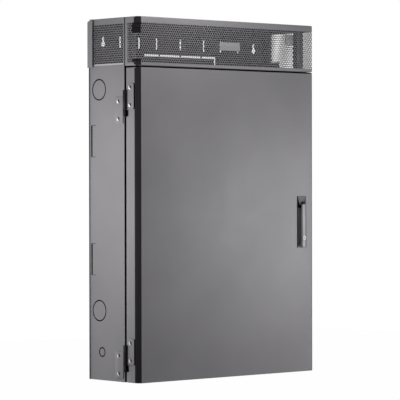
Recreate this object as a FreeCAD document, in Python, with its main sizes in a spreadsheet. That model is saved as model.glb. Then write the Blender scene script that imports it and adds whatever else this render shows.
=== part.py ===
import FreeCAD, Part
import Sketcher
import os
import re

# Shallow wall cabinet for rack equipment that hangs flat against the wall.
# x runs across the cabinet, y into the wall and z up.  The back of the box lies on y = 0 and
# the front faces -y.  Heights are written from the underside of the cabinet, and the placement
# of each piece lowers it by half the cabinet's height, so that the origin is the middle of the
# back face.

Vector = FreeCAD.Vector
document = FreeCAD.newDocument("WallCabinet")
sheet = document.addObject("Spreadsheet::Sheet", "Sizes")

SIZES = (
    # box and folded front section
    ("cab_width", 711.0, "width over the side walls"),
    ("cab_height", 1067.0, "height of box, door and hood together"),
    ("cab_depth", 224.0, "wall to front face"),
    ("box_depth", 161.0, "wall to the front edge of the rear box"),
    ("section_gap", 7.0, "shadow gap between the rear box and the front section"),
    ("wall_sheet", 1.6, "steel of box, door and hood"),
    ("back_sheet", 1.6, "steel of the back panel"),
    ("edge_chamfer", 10.5, "bevel on the upright front edges"),
    ("flange_width", 29.0, "inward return on the side walls"),
    ("lip_height", 16.0, "upturned lip on floor and roof"),
    ("fold_lip", 14.0, "lip round the back of door and hood"),
    # door and hood heights
    ("hood_height", 143.0, "height of the hood"),
    ("door_gap", 5.0, "gap between door and hood"),
    ("hood_sill", 9.0, "solid band under the hood's perforation"),
    ("hood_rail", 18.0, "solid band over the hood's perforation"),
    ("cover_border", 6.0, "solid border behind the hood's perforated sides"),
    ("standoff_radius", 4.0, "spacers that carry the hood on the box"),
    ("standoff_inset", 7.5, "spacer centre from the cabinet's side"),
    ("standoff_margin", 24.0, "spacer centre from the hood's ends"),
    # perforation
    ("hole_flats", 26.0, "across the flats of a grille hole"),
    ("hole_pitch", 32.8, "grille holes, centre to centre in a row"),
    ("row_pitch", 28.4, "grille rows, centre to centre"),
    ("grille_margin", 2.0, "least web between a hole and the edge of its screen"),
    # side vent in the box wall
    ("vent_front", 157.0, "front edge of the side vent from the wall"),
    ("vent_back", 22.0, "rear edge of the side vent from the wall"),
    # flange that stands out beside the hood at the wall
    ("rear_flange_out", 8.7, "how far the rear flange stands out"),
    ("rear_lip_out", 3.6, "how far the lip under the rear flange stands out"),
    ("rear_flange_deep", 22.0, "how far the rear flange runs forward"),
    ("flange_cut_long", 16.0, "cut corner at the flange's head, along its top"),
    ("flange_cut_high", 8.0, "cut corner at the flange's head, down its back"),
    # knock-outs and lanced tabs in the side walls
    ("knock_radius", 31.35, "conduit knock-out"),
    ("knock_drop", 209.0, "upper conduit knock-out below the roof"),
    ("knock_low", 205.0, "height of the lower conduit knock-out"),
    ("knock_back", 44.0, "conduit knock-out centre from the wall"),
    ("pilot_radius", 14.1, "small knock-out"),
    ("pilot_height", 83.0, "height of the small knock-out"),
    ("pilot_back", 56.5, "small knock-out centre from the wall"),
    ("knock_groove", 2.4, "width of a knock-out's groove"),
    ("groove_deep", 1.0, "depth of a knock-out's groove"),
    ("tab_back", 9.5, "rear edge of a lanced tab from the wall"),
    ("tab_front", 28.0, "front edge of a lanced tab from the wall"),
    ("tab_drop", 313.0, "head of the upper lanced tab below the roof"),
    ("tab_low", 309.0, "foot of the lower lanced tab"),
    ("tab_length", 95.0, "length of a lanced tab"),
    ("tab_slot", 3.0, "slot along the tab"),
    ("tab_slit", 1.2, "slit at the tab's ends"),
    # back panel
    ("stud_spacing", 406.4, "wall bolts, side to side: one 16 inch stud bay"),
    ("stud_radius", 4.0, "wall bolt hole"),
    ("stud_margin", 68.7, "wall bolt rows from floor and roof"),
    ("key_spacing", 609.6, "keyholes, side to side: 24 inches"),
    ("key_radius", 8.0, "keyhole entry"),
    ("key_slot", 8.0, "keyhole slot width"),
    ("key_rise", 21.0, "keyhole slot above its entry"),
    ("key_margin", 70.0, "keyhole entry from floor and roof"),
    ("tie_near", 95.4, "cable tie slots beside the middle one"),
    ("tie_middle", 165.0, "second pair of cable tie slots"),
    ("tie_far", 239.5, "outer pair of cable tie slots"),
    ("tie_width", 6.0, "cable tie slot"),
    ("tie_length", 34.5, "cable tie slot"),
    ("tie_drop", 44.5, "head of the cable tie slots below the roof"),
    ("entry_half", 144.0, "half width of the cable entry"),
    ("entry_drop", 95.0, "head of the cable entry below the roof"),
    ("entry_height", 92.0, "height of the cable entry"),
    ("entry_slot", 6.0, "slot round the entry's knock-out plate"),
    ("entry_tab", 3.0, "ties that hold the knock-out plate"),
    ("entry_tab_step", 85.0, "ties, centre to centre"),
    # equipment rails, 19 inch spacing, four units deep
    ("rail_sheet", 2.0, "steel of the rails"),
    ("rail_outside", 267.0, "outer face of a rail from the middle"),
    ("rail_inside", 222.3, "inner edge of a rail from the middle"),
    ("rail_foot", 25.0, "foot of a rail on the back panel"),
    ("rail_rise", 36.0, "head of the upper rail over the door's head"),
    ("rail_drop", 89.0, "underside of the upper rail below the door's head"),
    ("face_drop", 31.0, "underside of the drilled face below the door's head"),
    ("shoulder_drop", 22.0, "step that keeps the upper rail under the door's lip"),
    ("rail_reach", 200.0, "front edge of the rail from the wall"),
    ("rail_head_reach", 160.0, "front edge of the rail's head from the wall"),
    ("hole_spacing", 465.1, "rack holes, side to side"),
    ("rack_hole", 3.5, "radius of a rack hole"),
    ("rack_start", 20.0, "start of the first unit from the wall"),
    ("unit_height", 44.45, "one rack unit"),
    ("unit_margin", 6.35, "first hole in a unit"),
    ("unit_step", 15.875, "holes in a unit, centre to centre"),
    ("support_low", 260.0, "underside of the lower support"),
    ("support_top", 325.0, "head of the lower support"),
    ("support_reach", 158.0, "front edge of the lower support from the wall"),
    ("rail_screw_flats", 10.0, "rail screw head across its flats"),
    ("rail_screw_margin", 16.0, "rail screw from the end of the foot"),
    ("head_height", 3.0, "height of a rail screw's head"),
    # earth stud
    ("earth_radius", 3.0, "earth stud"),
    ("earth_length", 22.0, "earth stud"),
    ("earth_inset", 35.5, "earth stud from the cabinet's side"),
    ("earth_height", 60.0, "earth stud above the underside"),
    ("earth_nut", 5.8, "corner radius of the earth nut"),
    ("earth_nut_height", 5.0, "earth nut"),
    # corner brackets behind the hood
    ("corner_inset", 10.5, "corner bracket from the cabinet's side"),
    ("corner_width", 51.0, "width of a corner bracket"),
    ("corner_drop", 26.0, "head of a corner bracket below the roof"),
    ("corner_height", 32.0, "height of a corner bracket"),
    # badge plate, left bare
    ("badge_width", 82.0, "badge plate"),
    ("badge_height", 24.5, "badge plate"),
    ("badge_x", 2.0, "middle of the badge plate"),
    ("badge_drop", 64.5, "head of the badge plate below the roof"),
    ("badge_sheet", 1.2, "badge plate"),
    # hinges
    ("leaf_sheet", 3.0, "hinge leaf"),
    ("axis_out", 5.2, "hinge axis outside the side wall"),
    ("axis_depth", 168.0, "hinge axis from the wall"),
    ("knuckle_radius", 5.0, "hinge knuckle"),
    ("pin_radius", 2.5, "hinge pin"),
    ("running_gap", 0.08, "radial clearance of pins and shafts"),
    ("end_gap", 0.3, "end clearance of moving pieces"),
    ("hinge_margins", 174.0, "door height less the distance between the hinges"),
    ("box_leaf_foot", 11.0, "foot of the lower hinge's box leaf"),
    ("box_leaf_height", 78.0, "box leaf"),
    ("box_leaf_back", 120.0, "rear edge of the box leaf from the wall"),
    ("box_leaf_front", 157.0, "front edge of the box leaf from the wall"),
    ("box_screw_back", 136.0, "box leaf screws from the wall"),
    ("box_screw_low", 13.3, "lower screw from the leaf's foot"),
    ("box_screw_high", 65.0, "upper screw from the leaf's foot"),
    ("door_leaf_foot", 51.8, "foot of the lower hinge's door leaf"),
    ("door_leaf_height", 76.0, "door leaf"),
    ("door_leaf_back", 172.0, "rear edge of the door leaf from the wall"),
    ("door_leaf_front", 206.5, "front edge of the door leaf from the wall"),
    ("door_screw_back", 189.5, "door leaf screws from the wall"),
    ("door_screw_low", 12.3, "lower screw from the leaf's foot"),
    ("door_screw_high", 63.5, "upper screw from the leaf's foot"),
    ("leaf_corner", 6.0, "cut corner of a leaf"),
    ("knuckle_foot", 31.0, "foot of the lower hinge's fixed knuckle"),
    ("knuckle_split", 50.8, "where the two knuckles meet"),
    ("knuckle_head", 108.8, "head of the lower hinge's door knuckle"),
    ("pin_head", 100.0, "head of the lower hinge's pin"),
    ("notch_deep", 5.0, "notch in the box wall at a knuckle"),
    ("door_notch", 6.0, "notch in the door at the fixed knuckle"),
    ("screw_head", 4.4, "radius of a hinge screw's head"),
    ("screw_head_height", 2.4, "hinge screw head"),
    # door stiffening channels
    ("channel_width", 18.0, "stiffening channel"),
    ("channel_depth", 14.0, "stiffening channel"),
    ("channel_sheet", 1.5, "stiffening channel"),
    ("channel_inset", 3.0, "stiffening channel from the bevel's inner edge"),
    ("channel_margin", 40.0, "stiffening channel from the door's ends"),
    # handle cup
    ("cup_inset", 55.5, "middle of the handle cup from the cabinet's side"),
    ("cup_width", 38.0, "rim of the cup"),
    ("cup_foot", 382.0, "foot of the cup's rim"),
    ("cup_height", 159.0, "rim of the cup"),
    ("cup_rim", 0.8, "how far the rim stands on the door"),
    ("rim_lap", 1.2, "how far the rim laps over the door"),
    ("cup_clearance", 0.2, "cup body in the door's opening"),
    ("cup_wall", 1.2, "wall of the cup"),
    ("cup_depth", 20.0, "cup body behind the door's face"),
    ("head_ramp", 5.0, "depth of the sloping head at the lever's pivot"),
    ("foot_ramp", 8.0, "length of the sloping foot"),
    ("boss_radius", 7.0, "bearing boss behind the cup"),
    ("boss_length", 14.0, "bearing boss behind the cup"),
    # lever, spindle and latch
    ("lever_inset", 48.5, "spindle from the cabinet's side"),
    ("lever_foot", 383.0, "foot of the lever"),
    ("lever_pivot", 510.0, "height of the lever's pin and of the spindle"),
    ("lever_flare", 2.0, "how far the lever's right edge spreads at its foot"),
    ("lever_wide", 17.0, "lever at its pivot"),
    ("lever_lift", 0.5, "clearance between the lever and the cup's rim"),
    ("lever_thick", 6.2, "lever at its foot"),
    ("lever_thin", 5.6, "lever at its head"),
    ("lever_slant", 5.0, "start of the lever's slanted right flank from its middle"),
    ("slant_deep", 3.2, "depth of the slant at the lever's right edge"),
    ("lever_pin_back", 2.4, "lever pin in front of the lever's back"),
    ("lever_pin_radius", 1.2, "lever pin"),
    ("tongue_width", 6.0, "tongue that carries the lever"),
    ("tongue_radius", 1.9, "rounded end of the tongue"),
    ("tongue_gap", 0.3, "clearance round the tongue"),
    ("hub_radius", 6.0, "hub in the cup"),
    ("hub_height", 12.0, "hub in the cup"),
    ("shaft_radius", 4.0, "spindle"),
    ("cam_front", 154.0, "front face of the latch cam from the wall"),
    ("cam_sheet", 3.0, "latch cam"),
    ("cam_width", 16.0, "latch cam"),
    ("cam_length", 38.0, "latch cam from the spindle to its end"),
    ("cam_nut_radius", 7.5, "corner radius of the cam's nut"),
    ("cam_nut_height", 4.5, "cam's nut"),
    # lock
    ("lock_height", 412.0, "height of the lock"),
    ("lock_aside", 2.1, "lock to the left of the lever's middle"),
    ("ring_radius", 6.5, "lock ring"),
    ("plug_radius", 4.6, "lock plug"),
    ("ring_stand", 1.2, "how far the ring stands out of the lever"),
    ("key_wide", 1.4, "keyway"),
    ("key_tall", 5.6, "keyway"),
    ("key_deep", 4.0, "keyway"),
)

for row, (alias, value, meaning) in enumerate(SIZES, start=1):
    sheet.set(f"A{row}", meaning)
    sheet.set(f"B{row}", str(value))
    sheet.setAlias(f"B{row}", alias)
document.recompute()

NAMES = {alias for alias, value, meaning in SIZES}
PIECES = []

# Places that follow from the sizes, as formulas for the sheet.
HALF = "(cab_width / 2)"
INNER_HALF = "(cab_width / 2 - wall_sheet)"
FRONT_BACK = "(box_depth + section_gap)"
BOX_LIP = "(box_depth - wall_sheet)"
SIDE_FRONT = "(cab_depth - edge_chamfer)"
BEND = "(wall_sheet * (sqrt(2) - 1))"
HOOD_FOOT = "(cab_height - hood_height)"
DOOR_HEAD = f"({HOOD_FOOT} - door_gap)"
VENT_FOOT = f"({HOOD_FOOT} + hood_sill)"
VENT_HEAD = "(cab_height - hood_rail)"
KNOCK_HIGH = "(cab_height - knock_drop)"
TAB_HIGH = "(cab_height - tab_drop - tab_length)"
TIE_FOOT = "(cab_height - tie_drop - tie_length)"
ENTRY_HEAD = "(cab_height - entry_drop)"
ENTRY_FOOT = f"({ENTRY_HEAD} - entry_height)"
CORNER_FOOT = "(cab_height - corner_drop - corner_height)"
RAIL_LOW, RAIL_TOP = f"({DOOR_HEAD} - rail_drop)", f"({DOOR_HEAD} + rail_rise)"
RAIL_FACE, RAIL_SHOULDER = f"({DOOR_HEAD} - face_drop)", f"({DOOR_HEAD} - shoulder_drop)"
BADGE_FOOT = "(cab_height - badge_drop - badge_height)"
HINGE_LIFT = f"({DOOR_HEAD} - hinge_margins)"
LEVER_BACK = "(cab_depth + cup_rim + lever_lift)"
PIN_DEPTH = f"({LEVER_BACK} + lever_pin_back)"
CUP_FLOOR = "(cab_depth - cup_depth + cup_wall)"
HUB_FOOT = f"({CUP_FLOOR} + end_gap)"
AXIS_X = f"(-({HALF} + axis_out))"
CUP_X = f"({HALF} - cup_inset)"
LEVER_X = f"({HALF} - lever_inset)"
LOCK_X = f"({LEVER_X} - lock_aside)"
EARTH_X = f"({HALF} - earth_inset)"


# ---------------------------------------------------------------- formulas and sketches
def formula(text):
    """A formula in which every size name points at its cell of the sheet."""
    return re.sub(r"[a-z][a-z_]*", lambda word: link(word.group(0)), str(text))


def link(word):
    """The sheet's name for a size, and any other word as it is."""
    return "Sizes." + word if word in NAMES else word


def worth(text):
    """The number that a formula gives at present."""
    return float(sheet.evalExpression(formula(text)))


def bind(feature, prop, text):
    """Tie one property of a feature to a formula."""
    feature.setExpression(prop, formula(text))


def rectangle(left, low, right, high):
    """The four corners of a rectangle."""
    return ((left, low), (right, low), (right, high), (left, high))


def hexagon(across, up, flats):
    """The six corners of an upright hexagon of the given width across its flats."""
    half, side = f"({flats}) / 2", f"({flats}) / sqrt(3)"
    corners = ((0, 1), (-1, 0.5), (-1, -0.5), (0, -1), (1, -0.5), (1, 0.5))
    return tuple((f"{across} + {h} * {half}", f"{up} + {v} * {side}") for h, v in corners)


def span(side, near, far):
    """The low and high x of a stretch that lies from near to far of the middle, on one side."""
    if side < 0:
        return f"(-({far}))", f"(-({near}))"
    return f"({near})", f"({far})"


def hold(sketch, index, point, across, up):
    """Hold one point of a sketch at its formulas."""
    for kind, text in (("DistanceX", across), ("DistanceY", up)):
        rule = Sketcher.Constraint(kind, -1, 1, index, point, worth(text))
        number = sketch.addConstraint(rule)
        bind(sketch, f"Constraints[{number}]", text)


def add_loop(sketch, corners):
    """Draw a closed straight-sided outline."""
    first = sketch.GeometryCount
    count = len(corners)
    places = [Vector(worth(across), worth(up), 0) for across, up in corners]
    for number in range(count):
        line = Part.LineSegment(places[number], places[(number + 1) % count])
        sketch.addGeometry(line, False)
    for number in range(count):
        after = first + (number + 1) % count
        sketch.addConstraint(Sketcher.Constraint("Coincident", first + number, 2, after, 1))
    for number, (across, up) in enumerate(corners):
        hold(sketch, first + number, 1, across, up)


def add_circle(sketch, across, up, radius):
    """Draw a circle."""
    middle = Vector(worth(across), worth(up), 0)
    index = sketch.addGeometry(Part.Circle(middle, Vector(0, 0, 1), worth(radius)), False)
    number = sketch.addConstraint(Sketcher.Constraint("Radius", index, worth(radius)))
    bind(sketch, f"Constraints[{number}]", radius)
    hold(sketch, index, 3, across, up)


def draw(body, plane, offset, loops=(), circles=()):
    """A sketch on one of the body's own planes, moved along that plane's normal."""
    sketch = body.newObject("Sketcher::SketchObject", body.Name + "_sketch")
    support = next(item for item in body.Origin.OriginFeatures if item.Role == plane)
    sketch.AttachmentSupport = [(support, "")]
    sketch.MapMode = "FlatFace"
    bind(sketch, "AttachmentOffset.Base.z", offset)
    for corners in loops:
        add_loop(sketch, corners)
    for across, up, radius in circles:
        add_circle(sketch, across, up, radius)
    return sketch


# ---------------------------------------------------------------- features of a piece
# XY sketches face +z.  XZ sketches face the front (-y), so their offset is a distance from the
# wall.  YZ sketches face +x.  add() builds along the normal and cut() cuts against it.
def place(piece, label):
    """Name a piece and lower it so that the origin is the middle of the back face."""
    piece.Label = label
    bind(piece, "Placement.Base.z", "-cab_height / 2")
    PIECES.append(piece)
    return piece


def new_body(label):
    """An empty body for one piece of the cabinet."""
    return place(document.addObject("PartDesign::Body", label), label)


def add(body, plane, offset, length, loops=(), circles=()):
    """Pad outlines along the plane's normal."""
    profile = draw(body, plane, offset, loops, circles)
    feature = body.newObject("PartDesign::Pad", body.Name + "_pad")
    feature.Profile = profile
    bind(feature, "Length", length)
    body.Tip = feature
    return feature


def cut(body, plane, offset, length, loops=(), circles=(), outward=False):
    """Pocket outlines against the plane's normal, or along it where outward is set."""
    profile = draw(body, plane, offset, loops, circles)
    feature = body.newObject("PartDesign::Pocket", body.Name + "_pocket")
    feature.Profile = profile
    feature.Reversed = outward
    bind(feature, "Length", length)
    body.Tip = feature
    return feature


def step(body, feature, axis, spacing, count):
    """One direction of a pattern, along an axis of the feature's sketch."""
    pattern = body.newObject("PartDesign::LinearPattern", body.Name + "_step")
    pattern.Direction = (feature.Profile[0], [axis])
    bind(pattern, "Occurrences", count)
    bind(pattern, "Length", f"({spacing}) * (({count}) - 1)")
    return pattern


def repeat(body, feature, steps):
    """Repeat a feature along one or two directions, leaving out a direction with one copy."""
    steps = [item for item in steps if worth(item[2]) > 1]
    if not steps:
        return
    patterns = []
    pattern = body.newObject("PartDesign::MultiTransform", body.Name + "_pattern")
    pattern.Originals = [feature]
    for axis, spacing, count in steps:
        patterns.append(step(body, feature, axis, spacing, count))
    pattern.Transformations = patterns
    body.Tip = pattern


def grille(body, plane, offset, length, left, low, right, high):
    """Cut staggered rows of hexagonal holes that fill a rectangle evenly."""
    fit = "hole_flats + 2 * grille_margin"
    columns = f"(floor(({right} - {left} - ({fit})) / hole_pitch) + 1)"
    rows = f"(floor(({high} - {low} - ({fit})) / row_pitch) + 1)"
    first_x = f"(({left} + {right}) / 2 - hole_pitch * ({columns} - 1) / 2)"
    first_z = f"(({low} + {high}) / 2 - row_pitch * ({rows} - 1) / 2)"
    even = f"ceil({rows} / 2)"
    steps = (("H_Axis", "hole_pitch", columns), ("V_Axis", "2 * row_pitch", even))
    hole = cut(body, plane, offset, length, loops=[hexagon(first_x, first_z, "hole_flats")])
    repeat(body, hole, steps)
    if worth(columns) < 2:
        shift, odd_columns = "0", columns
    else:
        shift, odd_columns = "hole_pitch / 2", f"({columns} - 1)"
    corner = hexagon(f"({first_x} + {shift})", f"({first_z} + row_pitch)", "hole_flats")
    hole = cut(body, plane, offset, length, loops=[corner])
    steps = (("H_Axis", "hole_pitch", odd_columns), ("V_Axis", "2 * row_pitch", f"floor({rows} / 2)"))
    repeat(body, hole, steps)


# ---------------------------------------------------------------- rear box
def side_wall(label, side):
    """Side of the box, with its front return, vent window, knock-outs and lanced tabs."""
    body = new_body(label)
    outer, inner = f"{side} * {HALF}", f"{side} * {INNER_HALF}"
    tip = f"{side} * ({HALF} - flange_width)"
    lip, front = f"-{BOX_LIP}", "-box_depth"
    profile = ((outer, "0"), (inner, "0"), (inner, lip), (tip, lip), (tip, front), (outer, front))
    add(body, "XY_Plane", "0", "cab_height", loops=[profile])
    low, high = span(side, INNER_HALF, HALF)
    window = rectangle("-vent_front", VENT_FOOT, "-vent_back", VENT_HEAD)
    tabs = [lanced_tab("tab_low"), lanced_tab(TAB_HIGH)]
    cut(body, "YZ_Plane", high, "wall_sheet", loops=[window] + tabs)
    rings = []
    for back, height, radius in (("knock_back", KNOCK_HIGH, "knock_radius"),
                                 ("knock_back", "knock_low", "knock_radius"),
                                 ("pilot_back", "pilot_height", "pilot_radius")):
        rings.append((f"-{back}", height, radius))
        rings.append((f"-{back}", height, f"{radius} - knock_groove"))
    cut(body, "YZ_Plane", outer, "groove_deep", circles=rings, outward=side < 0)
    return body


def lanced_tab(foot):
    """The C-shaped slit that frees a tab from the wall."""
    head, back, front = f"{foot} + tab_length", "-tab_back", "-tab_front"
    inside = "-(tab_back + tab_slot)"
    return ((back, foot), (front, foot), (front, f"{foot} + tab_slit"),
            (inside, f"{foot} + tab_slit"), (inside, f"{head} - tab_slit"),
            (front, f"{head} - tab_slit"), (front, head), (back, head))


def hinge_notches(body):
    """Room for the hinge knuckles in the left wall."""
    for lift in ("0", HINGE_LIFT):
        corner = rectangle(f"-{HALF}", "-box_depth", f"-{HALF} + notch_deep",
                           "-box_depth + notch_deep")
        cut(body, "XY_Plane", f"knuckle_head + {lift}", "knuckle_head - knuckle_foot",
            loops=[corner])


def screw_places(leaf):
    """Depth and height of the four hinge screws in the box leaves or the door leaves."""
    places = []
    for lift in ("0", HINGE_LIFT):
        for height in ("low", "high"):
            up = f"({leaf}_leaf_foot + {leaf}_screw_{height} + {lift})"
            places.append((f"{leaf}_screw_back", up))
    return places


def cross_panel(label, top):
    """Floor or roof of the box: a plate between the walls with a lip along its front."""
    body = new_body(label)
    if top:
        base, plate, lip = "cab_height", "cab_height - wall_sheet", "cab_height - lip_height"
    else:
        base, plate, lip = "0", "wall_sheet", "lip_height"
    profile = (("-back_sheet", base), ("-box_depth", base), ("-box_depth", lip),
               (f"-{BOX_LIP}", lip), (f"-{BOX_LIP}", plate), ("-back_sheet", plate))
    tip = f"({HALF} - flange_width)"
    add(body, "YZ_Plane", f"-{tip}", f"2 * {tip}", loops=[profile])
    corners = rectangle(f"-{INNER_HALF}", f"-{BOX_LIP}", INNER_HALF, "-back_sheet")
    add(body, "XY_Plane", plate if top else base, "wall_sheet", loops=[corners])
    return body


def back_panel():
    """Back of the box, with wall bolt holes, keyholes, cable tie slots and the cable entry."""
    body = new_body("back_panel")
    outline = rectangle(f"-{INNER_HALF}", "0", INNER_HALF, "cab_height")
    add(body, "XZ_Plane", "0", "back_sheet", loops=[outline])
    bolts, entries, necks = [], [], []
    key_foot = ("key_margin", "(cab_height - key_margin)")
    for sign in ("-", ""):
        for height in ("stud_margin", "(cab_height - stud_margin)"):
            bolts.append((f"{sign}stud_spacing / 2", height, "stud_radius"))
        for height in key_foot:
            middle = f"{sign}key_spacing / 2"
            entries.append((middle, height, "key_radius"))
            necks.append(rectangle(f"{middle} - key_slot / 2", height,
                                   f"{middle} + key_slot / 2", f"{height} + key_rise"))
    cut(body, "XZ_Plane", "back_sheet", "back_sheet", circles=bolts + entries)
    cut(body, "XZ_Plane", "back_sheet", "back_sheet", loops=necks + tie_slots())
    entry = rectangle("-entry_half", ENTRY_FOOT, "entry_half", ENTRY_HEAD)
    cut(body, "XZ_Plane", "back_sheet", "back_sheet", loops=[entry])
    return body


def tie_slots():
    """The row of upright slots that cable ties pass through."""
    middles = ["0"]
    for place_name in ("tie_near", "tie_middle", "tie_far"):
        middles += [f"-{place_name}", place_name]
    return [rectangle(f"{middle} - tie_width / 2", TIE_FOOT,
                      f"{middle} + tie_width / 2", f"{TIE_FOOT} + tie_length")
            for middle in middles]


def entry_plate():
    """Knock-out plate of the cable entry, still held by six ties."""
    body = new_body("cable_entry_plate")
    half = "(entry_half - entry_slot)"
    low, high = f"({ENTRY_FOOT} + entry_slot)", f"({ENTRY_HEAD} - entry_slot)"
    add(body, "XZ_Plane", "0", "back_sheet", loops=[rectangle(f"-{half}", low, half, high)])
    ties = []
    for number in (-1, 0, 1):
        left = f"{number} * entry_tab_step - entry_tab / 2"
        right = f"{number} * entry_tab_step + entry_tab / 2"
        ties.append(rectangle(left, ENTRY_FOOT, right, low))
        ties.append(rectangle(left, high, right, ENTRY_HEAD))
    add(body, "XZ_Plane", "0", "back_sheet", loops=ties)
    return body


def rear_flange(label, side):
    """Flange that stands out from the box at the wall: deep beside the hood, a lip below."""
    body = new_body(label)
    wall, out = f"{side} * {HALF}", f"{side} * ({HALF} + rear_flange_out)"
    inside = f"{side} * ({HALF} + rear_flange_out - wall_sheet)"
    profile = ((wall, "0"), (out, "0"), (out, "-rear_flange_deep"),
               (inside, "-rear_flange_deep"), (inside, "-wall_sheet"), (wall, "-wall_sheet"))
    add(body, "XY_Plane", HOOD_FOOT, "hood_height", loops=[profile])
    low, high = span(side, HALF, f"{HALF} + rear_lip_out")
    add(body, "XY_Plane", "0", HOOD_FOOT, loops=[rectangle(low, "-wall_sheet", high, "0")])
    low, high = span(side, HALF, f"{HALF} + rear_flange_out")
    corner = (("0", "cab_height"), ("0", "cab_height - flange_cut_high"),
              ("-flange_cut_long", "cab_height"))
    cut(body, "YZ_Plane", high, "rear_flange_out", loops=[corner])
    return body


def side_screen(label, side):
    """Perforated vent in the side of the box."""
    body = new_body(label)
    low, high = span(side, INNER_HALF, HALF)
    field = ("-vent_front", VENT_FOOT, "-vent_back", VENT_HEAD)
    add(body, "YZ_Plane", low, "wall_sheet", loops=[rectangle(*field)])
    grille(body, "YZ_Plane", high, "wall_sheet", *field)
    return body


def corner_bracket(label, side):
    """Plate behind the front return that stiffens the corner under the roof."""
    body = new_body(label)
    outer = f"({HALF} - corner_inset)"
    low, high = span(side, f"{outer} - corner_width", outer)
    outline = rectangle(low, CORNER_FOOT, high, f"{CORNER_FOOT} + corner_height")
    add(body, "XZ_Plane", f"{BOX_LIP} - rail_sheet", "rail_sheet", loops=[outline])
    return body


# ---------------------------------------------------------------- rails inside the box
def equipment_rail(label, side, profile, face, reach, rack_holes):
    """Bracket that carries one side of the equipment, bent from one sheet."""
    body = new_body(label)
    low, high = span(side, "rail_outside - rail_sheet", "rail_outside")
    add(body, "YZ_Plane", low, "rail_sheet", loops=[profile])
    low, high = span(side, "rail_inside", "rail_outside - rail_sheet")
    drilled = rectangle(low, f"-{reach}", high, "-(rack_start - unit_margin)")
    add(body, "XY_Plane", face, "rail_sheet", loops=[drilled])
    low, high = span(side, "rail_outside", "rail_outside + rail_foot")
    foot, head = profile[0][1], profile[-1][1]
    add(body, "XZ_Plane", "back_sheet", "rail_sheet", loops=[rectangle(low, foot, high, head)])
    cut(body, "XY_Plane", f"{face} + rail_sheet", "rail_sheet",
        circles=[(f"{side} * hole_spacing / 2", depth, "rack_hole") for depth in rack_holes])
    return body


def rack_holes(per_unit):
    """Depths of the rack holes in four units: three in each unit, or its middle one alone."""
    steps = (0, 1, 2) if per_unit == 3 else (1,)
    return [f"-(rack_start + {unit} * unit_height + unit_margin + {number} * unit_step)"
            for unit in range(4) for number in steps]


def rails():
    """The drilled upper rails and the plain lower supports."""
    upper = (("-back_sheet", RAIL_LOW), ("-rail_reach", RAIL_LOW),
             ("-rail_reach", RAIL_SHOULDER), ("-rail_head_reach", RAIL_SHOULDER),
             ("-rail_head_reach", RAIL_TOP), ("-back_sheet", RAIL_TOP))
    lower = rectangle("-back_sheet", "support_low", "-support_reach", "support_top")
    for name, side in (("left", -1), ("right", 1)):
        equipment_rail(f"rail_{name}", side, upper, RAIL_FACE, "rail_reach", rack_holes(3))
        equipment_rail(f"support_{name}", side, lower, "support_low", "support_reach",
                       rack_holes(1)[:3])


def turned(label, plane, rings):
    """Round pieces: each ring is (across, up, radius, start, length) along the plane's normal."""
    body = new_body(label)
    for across, up, radius, start, length in rings:
        add(body, plane, start, length, circles=[(across, up, radius)])
    return body


def group(label, solids):
    """Several separate solids kept as one node."""
    feature = document.addObject("Part::Compound", label)
    feature.Links = solids
    return place(feature, label)


def headed(label, across, depth, height, flats, length):
    """A six-sided block that starts at a depth from the wall and runs to the front."""
    solid = document.addObject("Part::Prism", label)
    solid.Polygon = 6
    bind(solid, "Circumradius", f"{flats} / sqrt(3)")
    bind(solid, "Height", length)
    solid.Placement = FreeCAD.Placement(Vector(0, 0, 0), FreeCAD.Rotation(Vector(1, 0, 0), 90))
    bind(solid, "Placement.Base.x", across)
    bind(solid, "Placement.Base.y", f"-({depth})")
    bind(solid, "Placement.Base.z", height)
    return solid


def rail_screws():
    """Six-sided heads of the screws that hold rails and supports on the back panel."""
    screws = []
    for foot, head in ((RAIL_LOW, RAIL_TOP), ("support_low", "support_top")):
        for side in (-1, 1):
            across = f"{side} * (rail_outside + rail_foot / 2)"
            for height in (f"{foot} + rail_screw_margin", f"{head} - rail_screw_margin"):
                screws.append(headed("screw", across, "back_sheet + rail_sheet", height,
                                     "rail_screw_flats", "head_height"))
    return group("rail_screws", screws)


def earth_stud():
    """Welded earth stud with its nut."""
    body = turned("earth_stud", "XZ_Plane",
                  [(EARTH_X, "earth_height", "earth_radius", "back_sheet", "earth_length")])
    add(body, "XZ_Plane", "back_sheet", "earth_nut_height",
        loops=[hexagon(EARTH_X, "earth_height", "(earth_nut * sqrt(3))")])
    return body


# ---------------------------------------------------------------- door and hood
def folded_pan(label, low, high):
    """Shallow folded pan with bevelled upright edges and a lip round its open back."""
    body = new_body(label)
    outer = ((f"-{HALF}", f"-{FRONT_BACK}"), (f"-{HALF}", f"-{SIDE_FRONT}"),
             (f"-({HALF} - edge_chamfer)", "-cab_depth"), (f"{HALF} - edge_chamfer", "-cab_depth"),
             (HALF, f"-{SIDE_FRONT}"), (HALF, f"-{FRONT_BACK}"))
    add(body, "XY_Plane", low, f"{high} - {low}", loops=[outer])
    bend_side, bend_front = f"-({SIDE_FRONT} - {BEND})", f"-(cab_depth - wall_sheet)"
    tip = f"({HALF} - edge_chamfer - {BEND})"
    lip = f"-({FRONT_BACK} + wall_sheet)"
    inner = ((f"-{INNER_HALF}", lip), (f"-{INNER_HALF}", bend_side), (f"-{tip}", bend_front),
             (tip, bend_front), (INNER_HALF, bend_side), (INNER_HALF, lip))
    cut(body, "XY_Plane", f"{high} - wall_sheet", f"{high} - {low} - 2 * wall_sheet",
        loops=[inner])
    mouth = rectangle(f"-({HALF} - fold_lip)", f"{low} + fold_lip", f"{HALF} - fold_lip",
                      f"{high} - fold_lip")
    cut(body, "XZ_Plane", f"{FRONT_BACK} + wall_sheet", "wall_sheet", loops=[mouth])
    return body


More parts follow.
